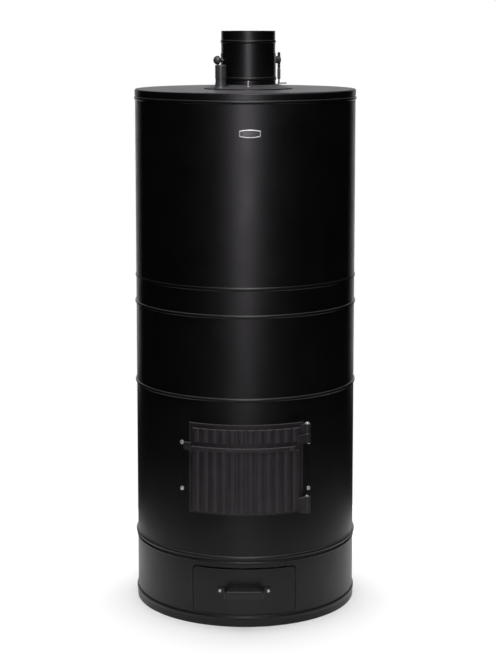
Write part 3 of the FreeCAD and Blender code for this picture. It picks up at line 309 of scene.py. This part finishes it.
MATERIALS = {
    # The last colour of a powder coat goes on what faces up: part dust, part painted highlight from
    # above.
    "black_steel": powder_coat(
        "black_steel", dark=(0.0012, 0.0010, 0.0014), light=(0.0020, 0.0017, 0.0022),
        dust_and_top_light=(0.055, 0.052, 0.056), rough_low=0.37, rough_high=0.43),
    "cast_black": painted_casting(),
    "raw_cast": bare_casting(),
    "raw_steel": rolled_steel(),
    "bright_steel": zinc_steel(),
    "firebrick": chamotte(),
    "rope": glass_rope(),
    "handle_black": powder_coat(
        "handle_black", dark=(0.003, 0.003, 0.0035), light=(0.005, 0.0045, 0.005),
        dust_and_top_light=(0.02, 0.019, 0.02), rough_low=0.26, rough_high=0.34),
    "cap_grey": turned_cap(),
    "grip_grey": moulded_grip(),
    "badge_chrome": polished_chrome(),
    "badge_field": badge_enamel(),
}
SLOT_OF = {p["node"]: p["material_slot"] for p in frame["record"]["subparts"]}


def smooth(thing):
    """Shade smooth, keeping edges sharper than an angle."""
    sharp_from = 35
    thing.data.shade_smooth()
    thing.data.set_sharp_from_angle(angle=math.radians(sharp_from))


for name, thing in NODES.items():
    thing.data.materials.clear()
    thing.data.materials.append(MATERIALS[SLOT_OF[name]])
    smooth(thing)
    weighted = thing.modifiers.new("flat faces", "WEIGHTED_NORMAL")
    weighted.keep_sharp = True


# ---- shapes --------------------------------------------------------------
def low_corner(points):
    """Lowest corner of the box around some points."""
    return Vector([min(p[i] for p in points) for i in range(3)])


def high_corner(points):
    """Highest corner of the box around some points."""
    return Vector([max(p[i] for p in points) for i in range(3)])


def middle(points):
    """Middle of the box around some points."""
    return (low_corner(points) + high_corner(points)) / 2


def islands(node):
    """Corners of each separate solid of a CAD node, lowest x first."""
    made = bmesh.new()
    made.from_mesh(NODES[node].data)
    made.transform(NODES[node].matrix_world)
    bmesh.ops.remove_doubles(made, verts=made.verts, dist=WELD)
    waiting = set(made.verts)
    found = []
    while waiting:
        group = {waiting.pop()}
        frontier = list(group)
        while frontier:
            vertex = frontier.pop()
            for edge in vertex.link_edges:
                other = edge.other_vert(vertex)
                if other in waiting:
                    waiting.discard(other)
                    group.add(other)
                    frontier.append(other)
        found.append([vertex.co.copy() for vertex in group])
    made.free()
    return sorted(found, key=lambda points: tuple(low_corner(points)))


def fillet(corners, steps):
    """Round a path: each corner is (x, y, radius) and the ends stay sharp."""
    path = []
    for i, (x, y, radius) in enumerate(corners):
        here = Vector((x, y))
        if radius == 0 or i in (0, len(corners) - 1):
            path.append(here)
            continue
        back = (Vector(corners[i - 1][:2]) - here).normalized()
        ahead = (Vector(corners[i + 1][:2]) - here).normalized()
        angle = back.angle(ahead)
        reach = radius / math.tan(angle / 2)
        centre = here + (back + ahead).normalized() * (radius / math.sin(angle / 2))
        first = here + back * reach - centre
        last = here + ahead * reach - centre
        for k in range(steps + 1):
            arm = first.lerp(last, k / steps).normalized() * radius
            path.append(centre + arm)
    return path


def finished(name, made, body, slot_name, node):
    """Turn a bmesh into a piece that rides on a body and stands for a node."""
    bmesh.ops.remove_doubles(made, verts=made.verts, dist=FINE_WELD)
    bmesh.ops.recalc_face_normals(made, faces=made.faces)
    mesh = bpy.data.meshes.new(name)
    made.to_mesh(mesh)
    made.free()
    mesh.materials.append(MATERIALS[slot_name])
    thing = bpy.data.objects.new(name, mesh)
    bpy.context.scene.collection.objects.link(thing)
    smooth(thing)
    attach(thing, body)
    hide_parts(node)


def bridge(made, rows):
    """Join neighbouring rings of vertices with faces; a ring of one is a tip."""
    for low, high in zip(rows, rows[1:]):
        count = max(len(low), len(high))
        for i in range(count):
            j = (i + 1) % count
            around = (low[i % len(low)], low[j % len(low)], high[j % len(high)], high[i % len(high)])
            made.faces.new(list(dict.fromkeys(around)))


def close_ends(made, rows):
    """Close the first and the last ring with a face each."""
    made.faces.new(rows[0])
    made.faces.new(rows[-1])


def turned(made, profile, place, steps, axis=(0, 0, 1), recess=(0, 0, 0)):
    """Turn a profile of (radius, height) about an axis through a point.

    recess is (reach, half width, depth) of a cross cut into the far end."""
    axis_frame = Vector(axis).to_track_quat("Z", "Y").to_matrix().to_4x4()
    axis_frame.translation = place
    reach, half_width, depth = recess
    top = max(height for _, height in profile)
    rows = []
    for radius, height in profile:
        in_recess = radius < reach and height > top - 2 * depth
        row = []
        for i in range(1 if radius < WELD else steps):
            angle = 2 * math.pi * i / steps
            spot = Vector((radius * math.cos(angle), radius * math.sin(angle), height))
            if in_recess and min(abs(spot.x), abs(spot.y)) < half_width:
                spot.z -= depth
            row.append(made.verts.new(axis_frame @ spot))
        rows.append(row)
    bridge(made, rows)


def turned_part(name, node, body, slot_name, profile, steps=56):
    """One upright turned piece in place of a node; the profile is (radius, height, fillet)."""
    low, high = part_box(node)
    centre = Vector(((low.x + high.x) / 2, (low.y + high.y) / 2, low.z))
    made = bmesh.new()
    turned(made, [tuple(p) for p in fillet(profile, FILLET_STEPS)], centre, steps)
    finished(name, made, body, slot_name, node)


def dome(radius, height, steps):
    """Profile of a low dome from its rim to its top."""
    turns = [math.pi / 2 * k / steps for k in range(steps + 1)]
    return [(radius * math.cos(turn), height * math.sin(turn)) for turn in turns]


def soft_box(half_width, half_height, radius, steps=4):
    """Closed section: a rectangle with rounded corners."""
    section = []
    for turn, (sx, sy) in enumerate(((1, 1), (-1, 1), (-1, -1), (1, -1))):
        for k in range(steps + 1):
            angle = math.pi / 2 * (turn + k / steps)
            section.append((
                sx * (half_width - radius) + radius * math.cos(angle),
                sy * (half_height - radius) + radius * math.sin(angle)))
    return section


def upright_ring(made, spot, side, section):
    """Vertices of an upright section of (along the side, up) set at a point."""
    return [made.verts.new(spot + side * across + Vector((0, 0, up))) for across, up in section]


# ---- fasteners and pins --------------------------------------------------
def screw_heads(node, body, radial):
    """Domed, cross-recessed screws in place of the plain ones of a node."""
    made = bmesh.new()
    for points in islands(node):
        centre = middle(points)
        outward = Vector((centre.x, centre.y, 0)).normalized() if radial else Vector((0, -1, 0))
        reach = [point.dot(outward) for point in points]
        radius = (high_corner(points).z - low_corner(points).z) / 2
        head = radius * 0.56
        seat = max(reach) - head
        back = min(reach) - seat
        stem = radius * 0.42
        edge = radius * 0.96
        rim = head * 0.15
        crown = head * 0.3
        profile = [(0, back), (stem, back), (stem, 0), (edge, 0), (radius, rim)]
        profile += [(r, crown + z) for r, z in dome(radius * 0.99, head * 0.7, 14)]
        cross = (radius * 0.5, radius * 0.13, head * 0.42)
        start = centre - outward * centre.dot(outward) + outward * seat
        turned(made, profile, start, 64, outward, cross)
    finished(node + "_heads", made, body, "bright_steel", node)


def hinge_pin_set():
    """Two pins with ball-topped ends: the upper one has a wider head."""
    made = bmesh.new()
    upper, lower = sorted(islands("hinge_pins"), key=lambda points: -middle(points).z)
    stem = (high_corner(lower).x - low_corner(lower).x) / 2

    low, high = low_corner(upper), high_corner(upper)
    head = (high.x - low.x) / 2
    rise = high.z - low.z
    shoulder = rise - 6 * MM
    ball = 5.4 * MM
    profile = [(0, 0), (stem * 0.8, 0), (stem, stem * 0.3), (stem, shoulder), (head * 0.9, shoulder)]
    profile += [(r, rise - ball + z) for r, z in dome(head, ball, 10)]
    turned(made, profile, Vector((middle(upper).x, middle(upper).y, low.z)), 40)

    low, high = low_corner(lower), high_corner(lower)
    rise = high.z - low.z
    ball = stem * 0.9
    profile = [(0, 0), (stem, 0), (stem, rise - ball)]
    profile += [(r, rise - ball + z) for r, z in dome(stem, ball, 8)[1:]]
    turned(made, profile, Vector((middle(lower).x, middle(lower).y, low.z)), 40)
    finished("hinge_pin_set", made, "stove", "bright_steel", "hinge_pins")


def studs():
    """Threaded studs with hexagon nuts on the rosette."""
    shortest = 15 * MM
    radius = 2.6 * MM
    root = radius * 0.86
    half_pitch = 0.4 * MM
    plain_end = 2.2 * MM
    nut_radius = 4 * MM
    nut_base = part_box("rosette")[1].z - 5.2 * MM
    nut_rings = ((0, 0.9), (0.5 * MM, 1), (2.9 * MM, 1), (3.4 * MM, 0.88))
    made = bmesh.new()
    for points in islands("rosette_studs"):
        low, high = low_corner(points), high_corner(points)
        centre = middle(points)
        rise = high.z - low.z
        if rise <= shortest:
            continue
        profile = [(0, 0), (radius * 0.85, 0)]
        z = half_pitch
        while z < rise - plain_end:
            profile += [(root, z), (radius, z + half_pitch)]
            z += 2 * half_pitch
        profile += [(root, z), (root, rise - 0.9 * MM)]
        profile += [(radius * 0.6, rise - 0.2 * MM), (radius * 0.4, rise), (0, rise)]
        turned(made, profile, Vector((centre.x, centre.y, low.z)), 28)
        rows = []
        for lift, share in nut_rings:
            row = []
            for i in range(6):
                turn = math.pi / 3 * i
                row.append(made.verts.new((
                    centre.x + nut_radius * share * math.cos(turn),
                    centre.y + nut_radius * share * math.sin(turn),
                    nut_base + lift)))
            rows.append(row)
        bridge(made, rows)
        close_ends(made, rows)
    finished("studs_threaded", made, "stove", "bright_steel", "rosette_studs")


# ---- drawer --------------------------------------------------------------
def handle():
    """Drawer handle: one rolled strip with feet, legs and rounded bends."""
    low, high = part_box("drawer_handle")
    front = -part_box("drawer_front")[0].y
    centre = (low.x + high.x) / 2
    half = (high.x - low.x) / 2
    strip = 3 * MM
    foot_length = 18 * MM
    foot_bend = 3 * MM
    grip_bend = 4.5 * MM
    edge_radius = 1.1 * MM
    leg = half - foot_length - strip / 2
    far = -low.y - strip / 2
    near = front + strip / 2

    def on_front(x):
        """Depth at x of a strip that lies on the curved drawer front."""
        return math.sqrt(near ** 2 - x ** 2)

    corners = []
    for side in (-1, 1):
        foot = [centre + side * (leg + (half - leg) * k / 4) for k in (4, 3, 2, 1)]
        run = [(x, -on_front(x), 0) for x in foot]
        run.append((centre + side * leg, -on_front(centre + side * leg), foot_bend))
        run.append((centre + side * leg, -far, grip_bend))
        corners += run if side < 0 else run[::-1]
    plan = fillet(corners, 8)
    section = soft_box(strip / 2 * INSIDE, (high.z - low.z) / 2, edge_radius)
    made = bmesh.new()
    rows = []
    for i, spot in enumerate(plan):
        ahead = (plan[min(i + 1, len(plan) - 1)] - plan[max(i - 1, 0)]).normalized()
        place = Vector((spot.x, spot.y, (low.z + high.z) / 2))
        rows.append(upright_ring(made, place, Vector((ahead.y, -ahead.x, 0)), section))
    bridge(made, rows)
    close_ends(made, rows)
    finished("handle_strip", made, "drawer", "handle_black", "drawer_handle")


# ---- port and damper -----------------------------------------------------
def neck():
    """Trumpet-footed port neck with a rolled lip."""
    low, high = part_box("port_neck")
    top = high.z - low.z
    flare = (high.x - low.x) / 2
    radius = 14 * MM
    bore = 11.5 * MM
    lip = radius + 0.7 * MM
    foot = 2.4 * MM
    profile = [(bore, 0, 0), (flare, 0, 0.6 * MM), (flare, foot, 0.6 * MM)]
    profile += [(radius * 1.12, 9 * MM, 14 * MM), (radius, 22 * MM, 30 * MM)]
    profile += [(radius, top - 4 * MM, 0.4 * MM), (lip, top - 3.4 * MM, 0.3 * MM)]
    profile += [(lip, top, 1 * MM), (bore, top, 0.4 * MM), (bore, 0, 0)]
    turned_part("neck_trumpet", "port_neck", "stove", "cap_grey", profile)


def port_cap_ridged():
    """Port cap with rolled ridges, a rounded top and its plug."""
    low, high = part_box("port_cap")
    radius = (high.x - low.x) / 2
    top = high.z - low.z
    plug_radius = radius * 0.73
    plug = 12.15 * MM
    ridges = 5
    pitch = 5 * MM
    groove = 0.7 * MM
    groove_bend = 0.25 * MM
    dish = top - 0.5 * MM
    profile = [(0, 0, 0), (plug_radius, 0, 1 * MM), (plug_radius, plug, 0), (radius, plug, 0.8 * MM)]
    for ridge in range(ridges):
        z = plug + 5.2 * MM + pitch * ridge
        profile += [(radius, z, 0), (radius - groove, z + 0.5 * MM, groove_bend)]
        profile += [(radius - groove, z + 1.3 * MM, groove_bend), (radius, z + 1.8 * MM, 0)]
    profile += [(radius, top, 2.4 * MM), (radius * 0.55, top, 0.3 * MM)]
    profile += [(radius * 0.5, dish, 0), (0, dish, 0)]
    turned_part("port_cap_ridged", "port_cap", "port_lid", "cap_grey", profile)


def shaft_axis():
    """Direction of the damper's shaft, towards its knob."""
    joint = next(j for j in frame["record"]["behaviour"]["joints"] if j["name"] == "damper_turn")
    return Vector(joint["axis"])


def knob():
    """Round-ended knob with a waisted neck, on the damper's shaft."""
    axis = shaft_axis()
    low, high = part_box("shaft_knob")
    radius = (high.z - low.z) / 2
    flue_low, flue_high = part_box("flue_spigot")
    flue = Vector(((flue_low.x + flue_high.x) / 2, (flue_low.y + flue_high.y) / 2, (low.z + high.z) / 2))
    reach = [(point - flue).dot(axis) for point in islands("shaft_knob")[0]]
    near, far = min(reach), max(reach)
    back = near + 9 * MM
    neck_radius = radius * 0.58
    waist = near + 4 * MM
    bore = 4.06 * MM
    bore_end = back + 8.06 * MM
    profile = [(0, bore_end, 0), (bore, bore_end, 0), (bore, near, 0), (neck_radius, near, 0.6 * MM)]
    profile += [(neck_radius * 0.86, waist, 2 * MM), (neck_radius, back, 0.5 * MM)]
    profile += [(radius * 0.9, back, 0.8 * MM), (radius, back + 1.2 * MM, 0.5 * MM)]
    profile.append((radius, far - radius, 0))
    profile = [tuple(p) for p in fillet(profile, FILLET_STEPS)]
    profile += [(r, far - radius + z) for r, z in dome(radius, radius, 14)[1:]]
    made = bmesh.new()
    turned(made, profile, flue, 56, axis)
    finished("knob_turned", made, "damper", "cap_grey", "shaft_knob")


def grip():
    """Ribbed sleeve on the lever's rod."""
    low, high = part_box("lever_grip")
    radius = (high.x - low.x) / 2
    top = high.z - low.z
    bore = radius * 0.5
    end_radius = radius * 0.86
    end_rise = 1.6 * MM
    grooves = 7
    groove = 0.45 * MM
    first, last = 4 * MM, top - 4 * MM
    profile = [(bore, 0, 0), (end_radius, 0, 0.8 * MM), (radius, end_rise, 0.4 * MM)]
    for i in range(grooves):
        z = first + (last - first) * i / (grooves - 1)
        profile += [(radius, z - 0.9 * MM, 0), (radius - groove, z - 0.4 * MM, 0)]
        profile += [(radius - groove, z + 0.4 * MM, 0), (radius, z + 0.9 * MM, 0)]
    profile += [(radius, top - end_rise, 0.4 * MM), (end_radius, top, 0.8 * MM), (bore, top, 0)]
    profile.append((bore, 0, 0))
    turned_part("grip_sleeve", "lever_grip", "damper", "grip_grey", profile, 40)


# ---- fire door -----------------------------------------------------------
def latch():
    """Bent latch bar with eased edges and a taller lifting tongue."""
    low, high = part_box("latch_bar")
    thick = 7 * MM
    radius = -low.y - thick / 2
    tongue_edge = low.x + 20.5 * MM
    bar_high = low.z + 11 * MM
    edge_radius = 1.3 * MM
    end_margin = 1.6 * MM
    ease = 0.6 * MM
    end_share = 0.86
    made = bmesh.new()
    rows = []

    def add_row(x, top, share=1.0):
        """Section across the bar at x, up to a height."""
        side = Vector((x, -math.sqrt(radius ** 2 - x ** 2), 0)).normalized()
        centre = side * radius + Vector((0, 0, (low.z + top) / 2))
        section = soft_box(thick / 2 * INSIDE * share, (top - low.z) / 2 * share, edge_radius)
        rows.append(upright_ring(made, centre, side, section))

    start, finish = low.x + end_margin, high.x - end_margin
    add_row(start - ease, high.z, end_share)
    for k in range(9):
        add_row(start + (tongue_edge - start) * k / 8, high.z)
    for k in range(61):
        add_row(tongue_edge + ease + (finish - tongue_edge - ease) * k / 60, bar_high)
    add_row(finish + ease, bar_high, end_share)
    bridge(made, rows)
    close_ends(made, rows)
    finished("latch_bar_bent", made, "latch", "cast_black", "latch_bar")


def even_steps(path, samples):
    """(point, direction) at even steps along a plan path."""
    lengths = [0]
    for a, b in zip(path, path[1:]):
        lengths.append(lengths[-1] + (b - a).length)
    found = []
    segment = 0
    for k in range(samples):
        along = lengths[-1] * k / samples
        while lengths[segment + 1] < along:
            segment += 1
        step = path[segment + 1] - path[segment]
        share = (along - lengths[segment]) / step.length
        found.append((path[segment] + step * share, step.normalized()))
    return found


def rope_seal():
    """Flat rope of four strands, braided along the back of the door."""
    low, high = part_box("door_seal")
    half_width = 4.5 * MM
    half_thick = 2.15 * MM
    corner = 9 * MM
    wave = 13 * MM
    steps_per_wave = 8
    strands = 4
    strand_half_width = 1.35 * MM
    strand_half_thick = 1.2 * MM
    swing = 2.9 * MM
    crossing_lift = 0.75 * MM
    ring_sides = 6

    radius = -low.y - half_thick
    centre_x, centre_z = (low.x + high.x) / 2, (low.z + high.z) / 2
    span = (high.x - low.x) / 2 - half_width
    tall = (high.z - low.z) / 2 - half_width
    left, right = math.asin((centre_x - span) / radius), math.asin((centre_x + span) / radius)
    flat_half = (right - left) / 2 * radius
    flat_centre = (left + right) / 2 * radius
    path = fillet([
        (0, -tall, 0), (flat_half, -tall, corner), (flat_half, tall, corner),
        (-flat_half, tall, corner), (-flat_half, -tall, corner), (0, -tall, 0)], 10)
    length = sum((b - a).length for a, b in zip(path, path[1:]))
    waves = round(length / wave)
    samples = waves * steps_per_wave
    made = bmesh.new()
    for strand in range(strands):
        rows = []
        for k, (spot, ahead) in enumerate(even_steps(path, samples)):
            aside = Vector((ahead.y, -ahead.x))
            phase = 2 * math.pi * (waves * k / samples + strand / strands)
            offset = swing * math.sin(phase)
            lift = crossing_lift * math.sin(2 * phase)
            ring = []
            for i in range(ring_sides):
                turn = 2 * math.pi * i / ring_sides
                flat = spot + aside * (offset + strand_half_width * math.cos(turn))
                reach = radius + lift + strand_half_thick * math.sin(turn)
                angle = (flat.x + flat_centre) / radius
                ring.append(made.verts.new((
                    reach * math.sin(angle), -reach * math.cos(angle), centre_z + flat.y)))
            rows.append(ring)
        rows.append(rows[0])
        bridge(made, rows)
    finished("rope_seal_braid", made, "door", "rope", "door_seal")


# ---- badge ---------------------------------------------------------------
def bowed_outline(half_width, half_height, bow, steps=14):
    """Closed outline of a badge: straight sides, bowed top and bottom."""
    across = [-1 + 2 * k / steps for k in range(steps + 1)]
    top = [(half_width * t, half_height + bow * (1 - t * t)) for t in across]
    bottom = [(x, -z) for x, z in reversed(top)]
    return top + bottom


def badge():
    """Blank badge: a rounded bright rim round a gently domed dark field."""
    low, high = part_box("badge_rim")
    centre_x, centre_z = (low.x + high.x) / 2, (low.z + high.z) / 2
    bow = 3 * MM
    rim = 3.2 * MM
    half = (high.x - low.x) / 2
    tall = (high.z - low.z) / 2 - bow
    skin = -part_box("upper_jacket")[0].y - 2.65 * MM
    rim_rise = -low.y - skin
    field_rise = -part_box("badge_plate")[0].y - skin
    # Each step is (share of the rim's width inwards, share of its rise).
    rim_steps = (
        (0, 0), (0.02, 0.45), (0.15, 0.85), (0.4, 1), (0.65, 0.95), (0.85, 0.6), (1, 0.1), (1, 0))
    # Each step is (share of the field's size, share of its rise).
    field_steps = ((1, 0), (1, 0.55), (0.97, 0.6), (0.8, 0.63), (0.6, 0.66), (0.4, 0.7), (0.2, 0.72))
    field_top = field_steps[-1][1]

    def row(outline, lift):
        """An outline laid on the drum, lifted off its skin."""
        reach = skin + lift
        spots = [(centre_x + x, z) for x, z in outline]
        return [made.verts.new((x, -math.sqrt(reach ** 2 - x ** 2), centre_z + z)) for x, z in spots]

    made = bmesh.new()
    rows = []
    for share, lift in rim_steps:
        inset = rim * share
        rows.append(row(bowed_outline(half - inset, tall - inset, bow), rim_rise * lift * INSIDE))
    rows.append(rows[0])
    bridge(made, rows)
    finished("badge_frame", made, "stove", "badge_chrome", "badge_rim")

    made = bmesh.new()
    rows = []
    for share, lift in field_steps:
        outline = bowed_outline((half - rim) * share, (tall - rim) * share, bow * share)
        rows.append(row(outline, field_rise * lift))
    rows.append(row([(0, 0)], field_rise * field_top))
    bridge(made, rows)
    made.faces.new(rows[0])
    finished("badge_field_plate", made, "stove", "badge_field", "badge_plate")


# ---- CAD solids that stay ------------------------------------------------
def eased(width, segments, *names):
    """Ease the sharp edges of CAD nodes."""
    for name in names:
        made = NODES[name].modifiers.new("eased", "BEVEL")
        made.width = width
        made.segments = segments
        made.limit_method = "ANGLE"
        made.angle_limit = math.radians(40)
        made.harden_normals = True


lining = [f"lining_course_{i}" for i in range(1, 7)]
eased(0.5 * MM, 2, "door_frame", "latch_keeper", "latch_pivot_pin", "damper_lever", "drawer_front")
eased(0.4 * MM, 2, "fire_door", "door_liner", "door_throat")
eased(2.2 * MM, 3, "lower_baffle", "upper_baffle", "hearth_bricks", "plinth_bricks", "core_cap", *lining)
eased(1 * MM, 2, "grate")


# ---- made pieces, each in place of its CAD node --------------------------
screw_heads("frame_screws", "stove", radial=True)
screw_heads("handle_screws", "drawer", radial=False)
hinge_pin_set()
handle()
latch()
neck()
port_cap_ridged()
knob()
grip()
studs()
rope_seal()
badge()


# ---- studio --------------------------------------------------------------
def camera():
    """Camera in front of the stove at the height of its top, tilted down a little."""
    data = bpy.data.cameras.new("camera")
    data.sensor_width = 36
    data.lens = 92.516
    data.shift_x = 0.0041
    data.shift_y = -0.15
    data.clip_end = 100
    tilt_down = 7.047
    thing = bpy.data.objects.new("camera", data)
    bpy.context.scene.collection.objects.link(thing)
    thing.location = (0, -4.6357, 1.5914)
    thing.rotation_euler = (math.radians(90 - tilt_down), 0, 0)
    bpy.context.scene.camera = thing


def area_light(name, place, target, size, power, colour=(1, 1, 1)):
    """Soft box that faces a point."""
    data = bpy.data.lights.new(name, "AREA")
    data.shape = "RECTANGLE"
    data.size, data.size_y = size
    data.energy = power
    data.color = colour
    thing = bpy.data.objects.new(name, data)
    bpy.context.scene.collection.objects.link(thing)
    thing.location = place
    aim = Vector(target) - Vector(place)
    thing.rotation_euler = aim.to_track_quat("-Z", "Y").to_euler()
    thing.visible_camera = False
    return thing


def world():
    """White to the camera, nearly black to every other ray."""
    made = bpy.data.worlds.new("studio")
    made.use_nodes = True
    tree = made.node_tree
    background = tree.nodes["Background"]
    path = tree.nodes.new("ShaderNodeLightPath")
    mix = tree.nodes.new("ShaderNodeMix")
    mix.data_type = "RGBA"
    tree.links.new(path.outputs["Is Camera Ray"], mix.inputs["Factor"])
    dark, white = [s for s in mix.inputs if s.type == "RGBA"]
    dark.default_value = (0.004, 0.004, 0.0042, 1)
    white.default_value = (1.0, 1.0, 1.0, 1)
    tree.links.new([s for s in mix.outputs if s.type == "RGBA"][0], background.inputs["Color"])
    bpy.context.scene.world = made


def floor():
    """Pale studio floor."""
    mesh = bpy.data.meshes.new("floor")
    shape = bmesh.new()
    bmesh.ops.create_circle(shape, cap_ends=True, segments=96, radius=0.9)
    shape.to_mesh(mesh)
    shape.free()
    thing = bpy.data.objects.new("floor", mesh)
    bpy.context.scene.collection.objects.link(thing)
    thing.location = (0.04, 0, 0)
    s = Shader("floor_paper")
    tone = s.noise(3, 2, 0.5)
    mesh.materials.append(s.finish(s.mix(tone, (0.92, 0.92, 0.92), (0.94, 0.94, 0.94)), 0.9))


def lights():
    """A tall key in front, wide soft boxes above, and three strips behind for the edges."""
    area_light(
        "key", place=(0, -5.4, 1.75), target=(0, 0, 1.45), size=(0.75, 2.7), power=106,
        colour=(1.0, 0.94, 1.0))
    overhead = area_light(
        "overhead", place=(0, 0.3, 3.6), target=(0, 0.3, 0), size=(4.4, 4.4), power=272)
    overhead.visible_glossy = False
    upper_front = area_light(
        "upper_front", place=(0.1, -2.2, 4.2), target=(0, 0, 1.3), size=(1.2, 1.2), power=110)
    upper_front.visible_diffuse = False
    area_light("back", place=(0, 3.2, 1.3), target=(0, 0, 1), size=(1.4, 2.6), power=7.2)
    area_light(
        "back_left", place=(-1.35, 3.2, 1), target=(0, 0, 0.8), size=(0.9, 2.2), power=10.5)
    area_light(
        "back_right", place=(1.35, 3.2, 1), target=(0, 0, 0.8), size=(0.9, 2.2), power=11)


camera()
world()
floor()
lights()
bpy.context.scene.view_settings.view_transform = "Standard"
